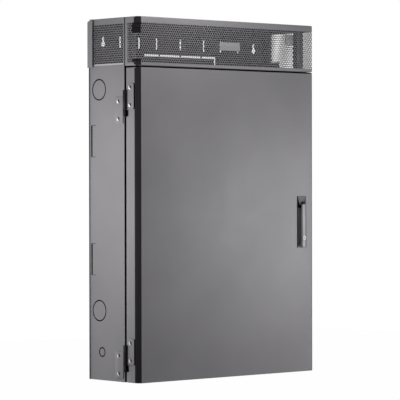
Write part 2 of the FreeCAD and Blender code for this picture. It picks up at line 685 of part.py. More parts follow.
def door_shell():
    """Door pan, with the opening for the handle cup and notches at the fixed knuckles."""
    body = folded_pan("door_shell", "0", DOOR_HEAD)
    half = "(cup_width / 2 - rim_lap)"
    opening = rectangle(f"{CUP_X} - {half}", "cup_foot + rim_lap", f"{CUP_X} + {half}",
                        "cup_foot + cup_height - rim_lap")
    cut(body, "XZ_Plane", "cab_depth", "wall_sheet", loops=[opening])
    for lift in ("0", HINGE_LIFT):
        corner = rectangle(f"-{HALF}", f"-({FRONT_BACK} + door_notch)",
                           f"-{HALF} + door_notch", f"-{FRONT_BACK}")
        cut(body, "XY_Plane", f"knuckle_split + {lift}", "knuckle_split - knuckle_foot",
            loops=[corner])
    return body


def door_channel(label, side):
    """Channel that stiffens the door behind its front."""
    body = new_body(label)
    far = f"({HALF} - edge_chamfer - {BEND} - channel_inset)"
    low, high = span(side, f"{far} - channel_width", far)
    face, back = "-(cab_depth - wall_sheet)", "-(cab_depth - wall_sheet - channel_depth)"
    web = f"({back} - channel_sheet)"
    profile = ((low, face), (low, back), (high, back), (high, face),
               (f"{high} - channel_sheet", face), (f"{high} - channel_sheet", web),
               (f"{low} + channel_sheet", web), (f"{low} + channel_sheet", face))
    add(body, "XY_Plane", "channel_margin", f"{DOOR_HEAD} - 2 * channel_margin", loops=[profile])
    return body


def vent_cover():
    """Hood frame: the bands above and below the perforation and the posts behind it."""
    body = folded_pan("vent_cover", HOOD_FOOT, "cab_height")
    window = rectangle(f"-({HALF} + wall_sheet)", VENT_FOOT, f"{HALF} + wall_sheet", VENT_HEAD)
    cut(body, "XZ_Plane", "cab_depth", f"cab_depth - {FRONT_BACK} - cover_border",
        loops=[window])
    return body


def cover_screens():
    """Perforated front, bevels and sides of the hood."""
    body = new_body("cover_screen_front")
    tip = f"({HALF} - edge_chamfer - {BEND})"
    field = (f"-{tip}", VENT_FOOT, tip, VENT_HEAD)
    add(body, "XZ_Plane", "cab_depth - wall_sheet", "wall_sheet", loops=[rectangle(*field)])
    grille(body, "XZ_Plane", "cab_depth", "wall_sheet", *field)
    for name, side in (("left", -1), ("right", 1)):
        bevel_screen(f"cover_screen_bevel_{name}", side)
        body = new_body(f"cover_screen_side_{name}")
        low, high = span(side, INNER_HALF, HALF)
        field = (f"-({SIDE_FRONT} - {BEND})", VENT_FOOT, f"-({FRONT_BACK} + cover_border)",
                 VENT_HEAD)
        add(body, "YZ_Plane", low, "wall_sheet", loops=[rectangle(*field)])
        grille(body, "YZ_Plane", high, "wall_sheet", *field)


def bevel_screen(label, side):
    """Perforated bevel between the hood's front and side."""
    body = new_body(label)
    outer, inner = f"{side} * {HALF}", f"{side} * {INNER_HALF}"
    tip = f"{side} * ({HALF} - edge_chamfer - {BEND})"
    profile = ((outer, f"-({SIDE_FRONT} - {BEND})"), (outer, f"-{SIDE_FRONT}"),
               (f"{side} * ({HALF} - edge_chamfer)", "-cab_depth"), (tip, "-cab_depth"),
               (tip, "-(cab_depth - wall_sheet)"), (inner, f"-({SIDE_FRONT} - {BEND})"))
    add(body, "XY_Plane", VENT_FOOT, f"{VENT_HEAD} - {VENT_FOOT}", loops=[profile])
    low, high = span(side, f"{HALF} - edge_chamfer + grille_margin",
                     f"{INNER_HALF} - grille_margin / 2")
    rows = f"(floor(({VENT_HEAD} - {VENT_FOOT} - row_pitch / 2) / (row_pitch / 2)))"
    foot = f"(({VENT_FOOT} + {VENT_HEAD}) / 2 - row_pitch / 2 * ({rows} - 1) / 2 - row_pitch / 6)"
    slot = cut(body, "XZ_Plane", "cab_depth", "edge_chamfer + wall_sheet",
               loops=[rectangle(low, foot, high, f"({foot} + row_pitch / 3)")])
    repeat(body, slot, [("V_Axis", "row_pitch / 2", rows)])
    return body


def cover_standoffs():
    """Spacers that carry the hood in front of the box."""
    spacers = []
    for side in (-1, 1):
        for height in (f"{HOOD_FOOT} + standoff_margin", "cab_height - standoff_margin"):
            across = f"{side} * ({HALF} - standoff_inset)"
            spacers.append(headed("spacer", across, "box_depth", height,
                                  "(standoff_radius * sqrt(3))", "section_gap"))
    return group("cover_standoffs", spacers)


def badge_plate():
    """Bare plate on the hood's front."""
    body = new_body("badge_plate")
    outline = rectangle("badge_x - badge_width / 2", BADGE_FOOT, "badge_x + badge_width / 2",
                        f"{BADGE_FOOT} + badge_height")
    add(body, "XZ_Plane", "cab_depth", "badge_sheet", loops=[outline])
    return body


# ---------------------------------------------------------------- hinges
def leaf_plate(body, leaf, lift):
    """Flat leaf on the outside of the left wall or of the door's left side."""
    foot, front = f"({leaf}_leaf_foot + {lift})", f"-{leaf}_leaf_front"
    head, back = f"({foot} + {leaf}_leaf_height)", f"-{leaf}_leaf_back"
    if leaf == "door":
        corners = ((back, foot), (f"{front} + leaf_corner", foot),
                   (front, f"{foot} + leaf_corner"), (front, f"{head} - leaf_corner"),
                   (f"{front} + leaf_corner", head), (back, head))
    else:
        corners = rectangle(front, foot, back, head)
    add(body, "YZ_Plane", f"-({HALF} + leaf_sheet)", "leaf_sheet", loops=[corners])


def hinge_leaf(label, leaf, lift):
    """One leaf of a lift-off hinge with its knuckle, bored for the pin."""
    body = new_body(label)
    leaf_plate(body, leaf, lift)
    if leaf == "box":
        foot, head, bore = "knuckle_foot", "(knuckle_split - end_gap)", "pin_radius"
        arm_end = "-box_leaf_front"
    else:
        foot, head, bore = "knuckle_split", "knuckle_head", "pin_radius + running_gap"
        arm_end = "-door_leaf_back"
    foot, head = f"({foot} + {lift})", f"({head} + {lift})"
    tangent = f"{AXIS_X} + knuckle_radius"
    arm = rectangle(f"{tangent} - leaf_sheet", "-axis_depth", tangent, arm_end)
    arm_foot = foot if leaf == "box" else f"(door_leaf_foot + {lift})"
    add(body, "XY_Plane", arm_foot, f"{head} - {arm_foot}", loops=[arm])
    add(body, "XY_Plane", foot, f"{head} - {foot}",
        circles=[(AXIS_X, "-axis_depth", "knuckle_radius")])
    cut(body, "XY_Plane", head, f"{head} - {foot}", circles=[(AXIS_X, "-axis_depth", bore)])
    return body


def hinges():
    """Two lift-off hinges: box leaf, pin and door leaf each."""
    for name, lift in (("lower", "0"), ("upper", HINGE_LIFT)):
        hinge_leaf(f"hinge_box_leaf_{name}", "box", lift)
        hinge_leaf(f"hinge_door_leaf_{name}", "door", lift)
        turned(f"hinge_pin_{name}", "XY_Plane",
               [(AXIS_X, "-axis_depth", "pin_radius", f"knuckle_foot + {lift}",
                 "pin_head - knuckle_foot")])


def hinge_screws(label, leaf):
    """The heads of the four screws in the box leaves or the door leaves."""
    screws = []
    for back, height in screw_places(leaf):
        crown = document.addObject("Part::Prism", "crown")
        crown.Polygon = 12
        bind(crown, "Circumradius", "screw_head")
        bind(crown, "Height", "screw_head_height")
        crown.Placement = FreeCAD.Placement(Vector(0, 0, 0),
                                            FreeCAD.Rotation(Vector(0, 1, 0), -90))
        bind(crown, "Placement.Base.x", f"-({HALF} + leaf_sheet)")
        bind(crown, "Placement.Base.y", f"-{back}")
        bind(crown, "Placement.Base.z", height)
        screws.append(crown)
    return group(label, screws)


# ---------------------------------------------------------------- handle, latch and lock
def handle_cup():
    """Cup with a rim on the door, a finger recess beside the lever and a bearing behind.

    The recess narrows towards the lever's pivot along a diagonal, and the head and the foot of
    the cup slope down to it.
    """
    body = new_body("handle_cup")
    left, right = f"({CUP_X} - cup_width / 2)", f"({CUP_X} + cup_width / 2)"
    low, high = "cup_foot", "(cup_foot + cup_height)"
    inset = "(rim_lap + cup_clearance)"
    add(body, "XZ_Plane", "cab_depth", "cup_rim", loops=[rectangle(left, low, right, high)])
    case = rectangle(f"{left} + {inset}", f"{low} + {inset}", f"{right} - {inset}",
                     f"{high} - {inset}")
    add(body, "XZ_Plane", "cab_depth - cup_depth", "cup_depth", loops=[case])
    add(body, "XZ_Plane", "cab_depth - cup_depth - boss_length", "boss_length",
        circles=[(LEVER_X, "lever_pivot", "boss_radius")])
    wall = f"({inset} + cup_wall)"
    front, beside = "(cab_depth + cup_rim)", f"({LEVER_X} - lever_wide / 2 - lever_lift)"
    inner_low, inner_high = f"({low} + {wall})", f"({high} - {wall})"
    shoulder = "(lever_pivot + lever_wide / 2 + cup_rim)"
    recess = ((f"{left} + {wall}", f"{inner_low} + foot_ramp"),
              (f"{right} - {wall}", f"{inner_low} + foot_ramp"),
              (f"{right} - {wall}", shoulder), (beside, shoulder), (beside, "lever_pivot"),
              (f"{left} + {wall}", inner_high))
    cut(body, "XZ_Plane", front, f"{front} - {CUP_FLOOR}", loops=[recess])
    ramps = (((f"-{front}", inner_high), (f"-{front}", "lever_pivot"),
              ("-(cab_depth - head_ramp)", "lever_pivot")),
             ((f"-{front}", inner_low), (f"-{CUP_FLOOR}", f"{inner_low} + foot_ramp"),
              (f"-{front}", f"{inner_low} + foot_ramp")))
    for ramp in ramps:
        cut(body, "YZ_Plane", f"{right} - {wall}", f"cup_width - 2 * {wall}", loops=[ramp])
    cut(body, "XZ_Plane", CUP_FLOOR, "boss_length + cup_wall",
        circles=[(LEVER_X, "lever_pivot", "shaft_radius + running_gap")])
    return body


def handle_spindle():
    """Hub in the cup, shaft to the latch cam and tongue that carries the lever."""
    body = new_body("handle_spindle")
    centre = (LEVER_X, "lever_pivot")
    shaft_foot = "(cam_front - cam_sheet - cam_nut_height)"
    add(body, "XZ_Plane", shaft_foot, f"{HUB_FOOT} - {shaft_foot}",
        circles=[centre + ("shaft_radius",)])
    add(body, "XZ_Plane", HUB_FOOT, "hub_height", circles=[centre + ("hub_radius",)])
    tongue = rectangle(f"{LEVER_X} - tongue_width / 2", "lever_pivot - tongue_radius",
                       f"{LEVER_X} + tongue_width / 2", "lever_pivot + tongue_radius")
    add(body, "XZ_Plane", f"{HUB_FOOT} + hub_height", f"{PIN_DEPTH} - {HUB_FOOT} - hub_height",
        loops=[tongue])
    pin = (f"-{PIN_DEPTH}", "lever_pivot")
    add(body, "YZ_Plane", f"{LEVER_X} - tongue_width / 2", "tongue_width",
        circles=[pin + ("tongue_radius",)])
    cut(body, "YZ_Plane", f"{LEVER_X} + tongue_width / 2", "tongue_width",
        circles=[pin + ("lever_pin_radius + running_gap",)])
    return body


def latch_cam():
    """Cam that turns behind the box's front return."""
    body = new_body("latch_cam")
    left, right = f"{LEVER_X} - cam_width / 2", f"{LEVER_X} + cam_width / 2"
    outline = ((left, "lever_pivot - cam_width / 2"), (right, "lever_pivot - cam_width / 2"),
               (right, "lever_pivot + cam_length - cam_width / 4"),
               (f"{right} - cam_width / 4", "lever_pivot + cam_length"),
               (f"{left} + cam_width / 4", "lever_pivot + cam_length"),
               (left, "lever_pivot + cam_length - cam_width / 4"))
    add(body, "XZ_Plane", "cam_front - cam_sheet", "cam_sheet", loops=[outline])
    cut(body, "XZ_Plane", "cam_front", "cam_sheet",
        circles=[(LEVER_X, "lever_pivot", "shaft_radius")])
    return body


def cam_nut():
    """Nut that holds the cam on the spindle."""
    body = new_body("cam_nut")
    flats = "(cam_nut_radius * sqrt(3))"
    add(body, "XZ_Plane", "cam_front - cam_sheet - cam_nut_height", "cam_nut_height",
        loops=[hexagon(LEVER_X, "lever_pivot", flats)])
    cut(body, "XZ_Plane", "cam_front - cam_sheet", "cam_nut_height",
        circles=[(LEVER_X, "lever_pivot", "shaft_radius")])
    return body


def handle_lever():
    """Flat lever with a slanted right flank, slotted over the tongue, bored for pin and lock."""
    body = new_body("handle_lever")
    left, right = f"{LEVER_X} - lever_wide / 2", f"{LEVER_X} + lever_wide / 2"
    sides = ((left, "lever_foot"), (f"{right} + lever_flare", "lever_foot"),
             (right, "lever_pivot"), (left, "lever_pivot"))
    add(body, "XZ_Plane", LEVER_BACK, "lever_thick", loops=[sides])
    add(body, "XZ_Plane", LEVER_BACK, "lever_thick",
        circles=[(LEVER_X, "lever_pivot", "lever_wide / 2")])
    head = "(lever_pivot + lever_wide / 2)"
    thick, thin = f"-({LEVER_BACK} + lever_thick)", f"-({LEVER_BACK} + lever_thin)"
    beyond = f"-({LEVER_BACK} + 2 * lever_thick)"
    wedge = ((thick, "lever_foot"), (beyond, "lever_foot"), (beyond, head), (thin, head))
    cut(body, "YZ_Plane", f"{LEVER_X} + lever_wide", "2 * lever_wide", loops=[wedge])
    ridge, edge = f"({LEVER_X} + lever_slant)", f"({right} + lever_flare)"
    flank = ((ridge, thick), (ridge, beyond), (edge, beyond), (edge, f"{thick} + slant_deep"))
    cut(body, "XY_Plane", head, f"{head} - lever_foot", loops=[flank])
    slot = rectangle(f"{LEVER_X} - tongue_width / 2 - tongue_gap",
                     "lever_pivot - tongue_radius - tongue_gap",
                     f"{LEVER_X} + tongue_width / 2 + tongue_gap", head)
    cut(body, "XZ_Plane", LEVER_BACK, "lever_pin_back + tongue_radius + tongue_gap",
        loops=[slot], outward=True)
    cut(body, "YZ_Plane", f"{LEVER_X} + lever_wide", "2 * lever_wide",
        circles=[(f"-{PIN_DEPTH}", "lever_pivot", "lever_pin_radius")])
    cut(body, "XZ_Plane", f"{LEVER_BACK} + 2 * lever_thick", "2 * lever_thick",
        circles=[(LOCK_X, "lock_height", "ring_radius")])
    return body


def lock():
    """Lock ring pressed into the lever, and the plug that the key turns."""
    front = f"({LEVER_BACK} + lever_thick + ring_stand)"
    ring = turned("lock_ring", "XZ_Plane",
                  [(LOCK_X, "lock_height", "ring_radius", LEVER_BACK, f"{front} - {LEVER_BACK}")])
    cut(ring, "XZ_Plane", front, f"{front} - {LEVER_BACK}",
        circles=[(LOCK_X, "lock_height", "plug_radius")])
    plug_front = f"({front} - end_gap)"
    plug = turned("lock_plug", "XZ_Plane",
                  [(LOCK_X, "lock_height", "plug_radius - running_gap",
                    f"{LEVER_BACK}", f"{plug_front} - {LEVER_BACK}")])
    keyway = rectangle(f"{LOCK_X} - key_wide / 2", "lock_height - key_tall / 2",
                       f"{LOCK_X} + key_wide / 2", "lock_height + key_tall / 2")
    cut(plug, "XZ_Plane", plug_front, "key_deep", loops=[keyway])
    turned("lever_pin", "YZ_Plane",
           [(f"-{PIN_DEPTH}", "lever_pivot", "lever_pin_radius",
             f"{LEVER_X} - lever_wide / 2", "lever_wide")])


# ---------------------------------------------------------------- the cabinet
def build():
    """Make every piece of the cabinet."""
    back_panel()
    entry_plate()
    hinge_notches(side_wall("side_wall_left", -1))
    side_wall("side_wall_right", 1)
    cross_panel("floor_panel", False)
    cross_panel("roof_panel", True)
    for name, side in (("left", -1), ("right", 1)):
        rear_flange(f"rear_flange_{name}", side)
        side_screen(f"side_screen_{name}", side)
        corner_bracket(f"corner_bracket_{name}", side)
        door_channel(f"door_channel_{name}", side)
    rails()
    rail_screws()
    earth_stud()
    door_shell()
    vent_cover()
    cover_screens()
    cover_standoffs()
    badge_plate()
    hinges()
    hinge_screws("hinge_box_screws", "box")
    hinge_screws("hinge_door_screws", "door")
    handle_cup()
    handle_spindle()
    latch_cam()
    cam_nut()
    handle_lever()
    lock()


def check():
    """Stop if any feature failed or any piece has no sound shape."""
    for item in document.Objects:
        if {"Invalid", "Error"} & set(item.State):
            raise RuntimeError(f"{item.Label} failed: {item.State}")
    for piece in PIECES:
        if piece.Shape.isNull() or not piece.Shape.isValid() or not piece.Shape.Solids:
            raise RuntimeError(f"{piece.Label} has no sound shape")


def export():
    """Write one STEP file for each piece."""
    os.makedirs("parts", exist_ok=True)
    for piece in PIECES:
        piece.Shape.exportStep(f"parts/{piece.Label}.step")
        solids = len(piece.Shape.Solids)
        print(f"{piece.Label}: {solids} solid(s), {piece.Shape.Volume / 1000:.1f} cm3")


build()
document.recompute()
check()
export()
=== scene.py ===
"""Looks of a shallow wall cabinet for rack equipment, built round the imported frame.

Every size is in metres.  x runs across the cabinet, y into the wall and z up, with the origin
at the middle of the back face, so the door faces -y.
"""

import logging
import math
from dataclasses import dataclass
from enum import Enum
from typing import Callable, Sequence

import bpy
from mathutils import Matrix, Vector


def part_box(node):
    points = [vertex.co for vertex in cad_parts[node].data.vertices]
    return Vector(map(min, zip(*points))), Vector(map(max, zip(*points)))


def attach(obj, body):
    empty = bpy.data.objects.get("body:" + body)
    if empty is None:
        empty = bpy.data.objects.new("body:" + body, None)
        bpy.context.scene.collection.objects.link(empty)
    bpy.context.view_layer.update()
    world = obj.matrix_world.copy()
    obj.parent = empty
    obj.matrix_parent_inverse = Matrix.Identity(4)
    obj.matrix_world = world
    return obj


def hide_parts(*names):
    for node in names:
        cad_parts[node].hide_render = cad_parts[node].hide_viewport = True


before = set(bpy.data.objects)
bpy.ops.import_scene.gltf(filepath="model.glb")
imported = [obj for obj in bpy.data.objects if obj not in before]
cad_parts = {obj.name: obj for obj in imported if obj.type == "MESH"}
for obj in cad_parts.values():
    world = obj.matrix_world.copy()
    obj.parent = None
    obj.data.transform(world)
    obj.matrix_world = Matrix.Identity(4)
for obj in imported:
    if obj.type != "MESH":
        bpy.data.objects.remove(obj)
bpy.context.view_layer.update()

LOG = logging.getLogger("cabinet")
Object = bpy.types.Object
Mesh = bpy.types.Mesh
Face = bpy.types.MeshPolygon
Material = bpy.types.Material
Tree = bpy.types.NodeTree
Test = Callable[..., bool]

# Places nearer to each other than NEAR are the same.  A face is square to an axis where its
# normal's share along that axis is over SQUARE.
NEAR = 1e-5
SQUARE = 0.9

# Turns that lay an upright rod across the cabinet or into its depth.
ACROSS = (0, math.pi / 2, 0)
DEEP = (math.pi / 2, 0, 0)


class Facing(Enum):
    """Turn about z that points a sheet drawn facing the front the way it has to face."""

    FRONT = 0.0
    LEFT = -math.pi / 2
    RIGHT = math.pi / 2
    LEFT_BEVEL = -math.pi / 4
    RIGHT_BEVEL = math.pi / 4


# ------------------------------------------------------------------------------ measures
def cad(node: str) -> Object:
    """The object of a CAD node."""
    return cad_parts[node]


def middle(node: str) -> Vector:
    """Middle of a CAD node's box."""
    low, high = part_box(node)
    return (low + high) / 2


def outer_face(wall: Mesh) -> float:
    """How far a side wall's outer face lies from the cabinet's middle."""
    return max(abs(vertex.co.x) for vertex in wall.vertices)


def anywhere(*_place: Vector) -> bool:
    """A test that every face and edge passes."""
    return True


def nowhere(_face: Face) -> bool:
    """A test that no face passes."""
    return False


def runs_deep(first: Vector, second: Vector) -> bool:
    """Whether an edge runs into the cabinet's depth."""
    return abs(first.y - second.y) > NEAR


# ------------------------------------------------------------------------------ bench tools
class Bench:
    """Modelling operators used as by hand, one object at a time."""

    SHARP = math.radians(30)

    @staticmethod
    def clear() -> None:
        """Deselect every object."""
        bpy.ops.object.select_all(action="DESELECT")

    @classmethod
    def take(cls, obj: Object) -> Object:
        """Make one object the only selected and active one.

        Args:
            obj: the object to work on.

        Returns:
            The same object.
        """
        cls.clear()
        obj.select_set(True)
        bpy.context.view_layer.objects.active = obj
        return obj

    @classmethod
    def settle(cls, obj: Object) -> Object:
        """Put an object's place, turn and scale into its mesh.

        Args:
            obj: the object to settle.

        Returns:
            The same object, at the origin.
        """
        cls.take(obj)
        bpy.ops.object.transform_apply(location=True, rotation=True, scale=True)
        return obj

    @staticmethod
    def added(name: str) -> Object:
        """Name the object that an operator has just made.

        Args:
            name: its new name.

        Returns:
            The object.
        """
        obj = bpy.context.active_object
        obj.name = name
        return obj

    @classmethod
    def block(cls, name: str, low: Sequence[float], high: Sequence[float]) -> Object:
        """Add a box between two corners.

        Args:
            name: the new object's name.
            low: lowest corner.
            high: highest corner.

        Returns:
            The box, with its place in its mesh.
        """
        cls.clear()
        low, high = Vector(low), Vector(high)
        bpy.ops.mesh.primitive_cube_add(size=1, location=(low + high) / 2)
        obj = cls.added(name)
        obj.scale = high - low
        return cls.settle(obj)

    @classmethod
    def wedge(cls, name: str, low: Sequence[float], high: Sequence[float],
              move: Callable[[Vector], Vector]) -> Object:
        """Add a box with some corners moved, and merge those that meet.

        Args:
            name: the new object's name.
            low: lowest corner.
            high: highest corner.
            move: gives each corner its new place.

        Returns:
            The wedge.
        """
        obj = cls.block(name, low, high)
        for vertex in obj.data.vertices:
            vertex.co = move(vertex.co.copy())
        cls.edit(obj)
        bpy.ops.mesh.remove_doubles(threshold=NEAR)
        bpy.ops.mesh.normals_make_consistent(inside=False)
        cls.done()
        return obj

    @classmethod
    def rod(cls, name: str, centre: Sequence[float], radius: float, length: float,
            turn: tuple[float, float, float] = (0, 0, 0), sides: int = 32) -> Object:
        """Add a cylinder.

        Args:
            name: the new object's name.
            centre: its middle.
            radius: its radius.
            length: its length.
            turn: how it is turned from upright.
            sides: flats round it.

        Returns:
            The cylinder, with its place in its mesh.
        """
        cls.clear()
        bpy.ops.mesh.primitive_cylinder_add(vertices=sides, radius=radius, depth=length,
                                            location=centre, rotation=turn)
        return cls.settle(cls.added(name))

    @classmethod
    def edit(cls, obj: Object, kind: str = "FACE", test: Test = anywhere) -> None:
        """Enter edit mode with the faces or edges selected that pass a test.

        Args:
            obj: the object to edit.
            kind: "FACE" or "EDGE".
            test: takes a face's centre and normal, or an edge's two ends.
        """
        cls.take(obj)
        mesh = obj.data
        for part in (mesh.vertices, mesh.edges, mesh.polygons):
            part.foreach_set("select", [False] * len(part))
        bpy.context.tool_settings.mesh_select_mode = (False, kind == "EDGE", kind == "FACE")
        if kind == "FACE":
            for face in mesh.polygons:
                face.select = test(face.center, face.normal)
        else:
            for edge in mesh.edges:
                first, second = (mesh.vertices[index].co for index in edge.vertices)
                edge.select = test(first, second)
        bpy.ops.object.mode_set(mode="EDIT")

    @staticmethod
    def done() -> None:
        """Leave edit mode."""
        bpy.ops.object.mode_set(mode="OBJECT")

    @classmethod
    def bevel_edges(cls, obj: Object, test: Test, width: float, segments: int = 1) -> None:
        """Bevel the edges that pass a test.

        Args:
            obj: the object to shape.
            test: takes an edge's two ends.
            width: width of the bevel.
            segments: steps across it.
        """
        cls.edit(obj, "EDGE", test)
        bpy.ops.mesh.bevel(offset=width, segments=segments, affect="EDGES")
        cls.done()

    @classmethod
    def split(cls, obj: Object, point: Sequence[float], normal: Sequence[float],
              **options: bool) -> None:
        """Divide the faces that a plane crosses.

        Args:
            obj: the object to divide.
            point: a point of the plane.
            normal: the way the plane faces.
            options: which side to clear, and whether to close the cut.
        """
        cls.edit(obj)
        bpy.ops.mesh.bisect(plane_co=point, plane_no=normal, **options)
        cls.done()

    @classmethod
    def finish(cls, obj: Object, kind: str, **settings: object) -> Object:
        """Add a modifier and apply it.

        Args:
            obj: the object to finish.
            kind: the modifier's type.
            settings: its settings, by name.

        Returns:
            The same object.
        """
        cls.take(obj)
        modifier = obj.modifiers.new(kind.title(), kind)
        for key, value in settings.items():
            setattr(modifier, key, value)
        bpy.ops.object.modifier_apply(modifier=modifier.name)
        return obj

    @classmethod
    def soften(cls, obj: Object, width: float, segments: int = 2) -> Object:
        """Round every sharp edge of an object a little."""
        return cls.finish(obj, "BEVEL", width=width, segments=segments, limit_method="ANGLE",
                          angle_limit=cls.SHARP, harden_normals=False)

    @classmethod
    def combine(cls, obj: Object, other: Object, operation: str) -> Object:
        """Combine two solids.

        Args:
            obj: the solid to keep.
            other: the second solid, which is dropped.
            operation: the boolean operation.

        Returns:
            The solid that was kept.
        """
        cls.finish(obj, "BOOLEAN", operation=operation, solver="EXACT", object=other)
        bpy.data.objects.remove(other)
        return obj

    @classmethod
    def carve(cls, obj: Object, cutter: Object) -> Object:
        """Take one solid's shape out of another."""
        return cls.combine(obj, cutter, "DIFFERENCE")

    @classmethod
    def weld(cls, obj: Object, other: Object) -> Object:
        """Unite two solids."""
        return cls.combine(obj, other, "UNION")

    @classmethod
    def join(cls, name: str, parts: Sequence[Object]) -> Object:
        """Keep several shapes as one object.

        Args:
            name: the object's name.
            parts: the shapes, whose first one gives the first materials.

        Returns:
            The joined object.
        """
        cls.take(parts[0])
        for part in parts:
            part.select_set(True)
        bpy.ops.object.join()
        return cls.added(name)

    @classmethod
    def smooth(cls, obj: Object, degrees: float = 35.0) -> Object:
        """Shade an object smooth except over sharper edges.

        Args:
            obj: the object to shade.
            degrees: the angle from which an edge stays sharp.

        Returns:
            The same object.
        """
        cls.take(obj)
        bpy.ops.object.shade_smooth_by_angle(angle=math.radians(degrees))
        return obj


# ------------------------------------------------------------------------------ finishes
def linear(tone: Sequence[float], share: float = 1.0) -> tuple[float, ...]:
    """Turn a tone on the 0 to 255 scale into the linear colour that shaders take.

    Args:
        tone: red, green and blue.
        share: how bright the tone is made, 1 for as it is.

    Returns:
        Red, green and blue, and full cover.
    """
    def channel(value: float) -> float:
        """One channel, by the standard curve of display colours."""
        value = value * share / 255
        return value / 12.92 if value <= 0.04045 else ((value + 0.055) / 1.055) ** 2.4
    return (*(channel(value) for value in tone), 1.0)


class Graph:
    """Small helper that adds and links the nodes of one material."""

    def __init__(self, name: str) -> None:
        """Start a material with a bare principled shader.

        Args:
            name: the material's name.
        """
        self.material = bpy.data.materials.new(name)
        self.material.use_nodes = True
        self.tree = self.material.node_tree
        self.shader = self.tree.nodes["Principled BSDF"]
        self.place = self.add("ShaderNodeTexCoord").outputs["Object"]

    def add(self, kind: str, **inputs: object) -> bpy.types.Node:
        """Add a node.

        Args:
            kind: the node's type.
            inputs: values of its inputs, by name with _ for a space.

        Returns:
            The node.
        """
        node = self.tree.nodes.new(kind)
        for key, value in inputs.items():
            node.inputs[key.replace("_", " ")].default_value = value
        return node

    def link(self, source: object, target: object) -> None:
        """Link an output to an input."""
        self.tree.links.new(source, target)

    def noise(self, scale: float, detail: float = 2.0,
              stretch: tuple[float, float, float] = (1, 1, 1)) -> object:
        """Add a noise texture on object coordinates.

        Args:
            scale: how fine the noise is.
            detail: how many finer layers it has.
            stretch: scale along each axis.

        Returns:
            Its value.
        """
        mapping = self.add("ShaderNodeMapping", Scale=stretch)
        self.link(self.place, mapping.inputs["Vector"])
        node = self.add("ShaderNodeTexNoise", Scale=scale, Detail=detail)
        self.link(mapping.outputs["Vector"], node.inputs["Vector"])
        return node.outputs["Fac"]

    def ramp(self, source: object, low: object, high: object,
             start: float = 0.3, end: float = 0.7) -> object:
        """Turn a value into colours.

        Args:
            source: the value.
            low: colour up to the start.
            high: colour from the end on.
            start: where the change starts.
            end: where it ends.

        Returns:
            The colour.
        """
        node = self.add("ShaderNodeValToRGB")
        for element, place, colour in zip(node.color_ramp.elements, (start, end), (low, high)):
            element.position = place
            element.color = colour
        self.link(source, node.inputs["Fac"])
        return node.outputs["Color"]

    def spread(self, source: object, low: float, high: float) -> object:
        """Map a value from the range of 0 to 1 to another.

        Args:
            source: the value.
            low: start of the new range.
            high: its end.

        Returns:
            The new value.
        """
        node = self.add("ShaderNodeMapRange", To_Min=low, To_Max=high)
        self.link(source, node.inputs["Value"])
        return node.outputs["Result"]

    def bump(self, source: object, strength: float, depth: float) -> None:
        """Roughen the surface by a texture.

        Args:
            source: height of the surface.
            strength: how much of it shows.
            depth: the height's full range.
        """
        node = self.add("ShaderNodeBump", Strength=strength, Distance=depth)
        self.link(source, node.inputs["Height"])
        self.link(node.outputs["Normal"], self.shader.inputs["Normal"])


@dataclass(frozen=True)
class PowderCoat:
    """Baked powder paint with a fine orange-peel texture.

    The tone drifts over wide clouds, the gloss over smaller patches.
    """

    name: str
    tone: tuple[float, float, float]
    drift: float = 0.035
    gloss: float = 0.42
    grain: float = 1100.0
    sheen: float = 0.45
    clouds: float = 4.0
    patches: float = 38.0
    smoother: float = 0.05
    rougher: float = 0.06
    detail: float = 3.0
    peel: float = 0.35
    relief: float = 0.00006

    def make(self) -> Material:
        """Build the material.

        Returns:
            Paint whose tone drifts a little over the sheet and whose gloss is slightly uneven.
        """
        graph = Graph(self.name)
        tones = (linear(self.tone, 1 - self.drift), linear(self.tone, 1 + self.drift))
        graph.link(graph.ramp(graph.noise(self.clouds, self.detail), *tones),
                   graph.shader.inputs["Base Color"])
        rough = graph.spread(graph.noise(self.patches), self.gloss - self.smoother,
                             self.gloss + self.rougher)
        graph.link(rough, graph.shader.inputs["Roughness"])
        graph.bump(graph.noise(self.grain, self.detail), self.peel, self.relief)
        graph.shader.inputs["Specular IOR Level"].default_value = self.sheen
        return graph.material


@dataclass(frozen=True)
class Plated:
    """Plated or turned metal with fine tool marks."""

    name: str
    tone: tuple[float, float, float]
    gloss: float = 0.28
    stretch: tuple[float, float, float] = (1, 1, 1)
    dull: float = 0.86
    patches: float = 160.0
    streaks: float = 900.0
    smoother: float = 0.08
    rougher: float = 0.12
    marks: float = 1600.0
    depth: float = 0.3
    relief: float = 0.00003

    def make(self) -> Material:
        """Build the material.

        Returns:
            Metal with patchy tone and directional marks.
        """
        graph = Graph(self.name)
        tones = (linear(self.tone, self.dull), linear(self.tone))
        graph.link(graph.ramp(graph.noise(self.patches), *tones),
                   graph.shader.inputs["Base Color"])
        streaks = graph.noise(self.streaks, stretch=self.stretch)
        rough = graph.spread(streaks, self.gloss - self.smoother, self.gloss + self.rougher)
        graph.link(rough, graph.shader.inputs["Roughness"])
        graph.bump(graph.noise(self.marks, stretch=self.stretch), self.depth, self.relief)
        graph.shader.inputs["Metallic"].default_value = 1.0
        return graph.material


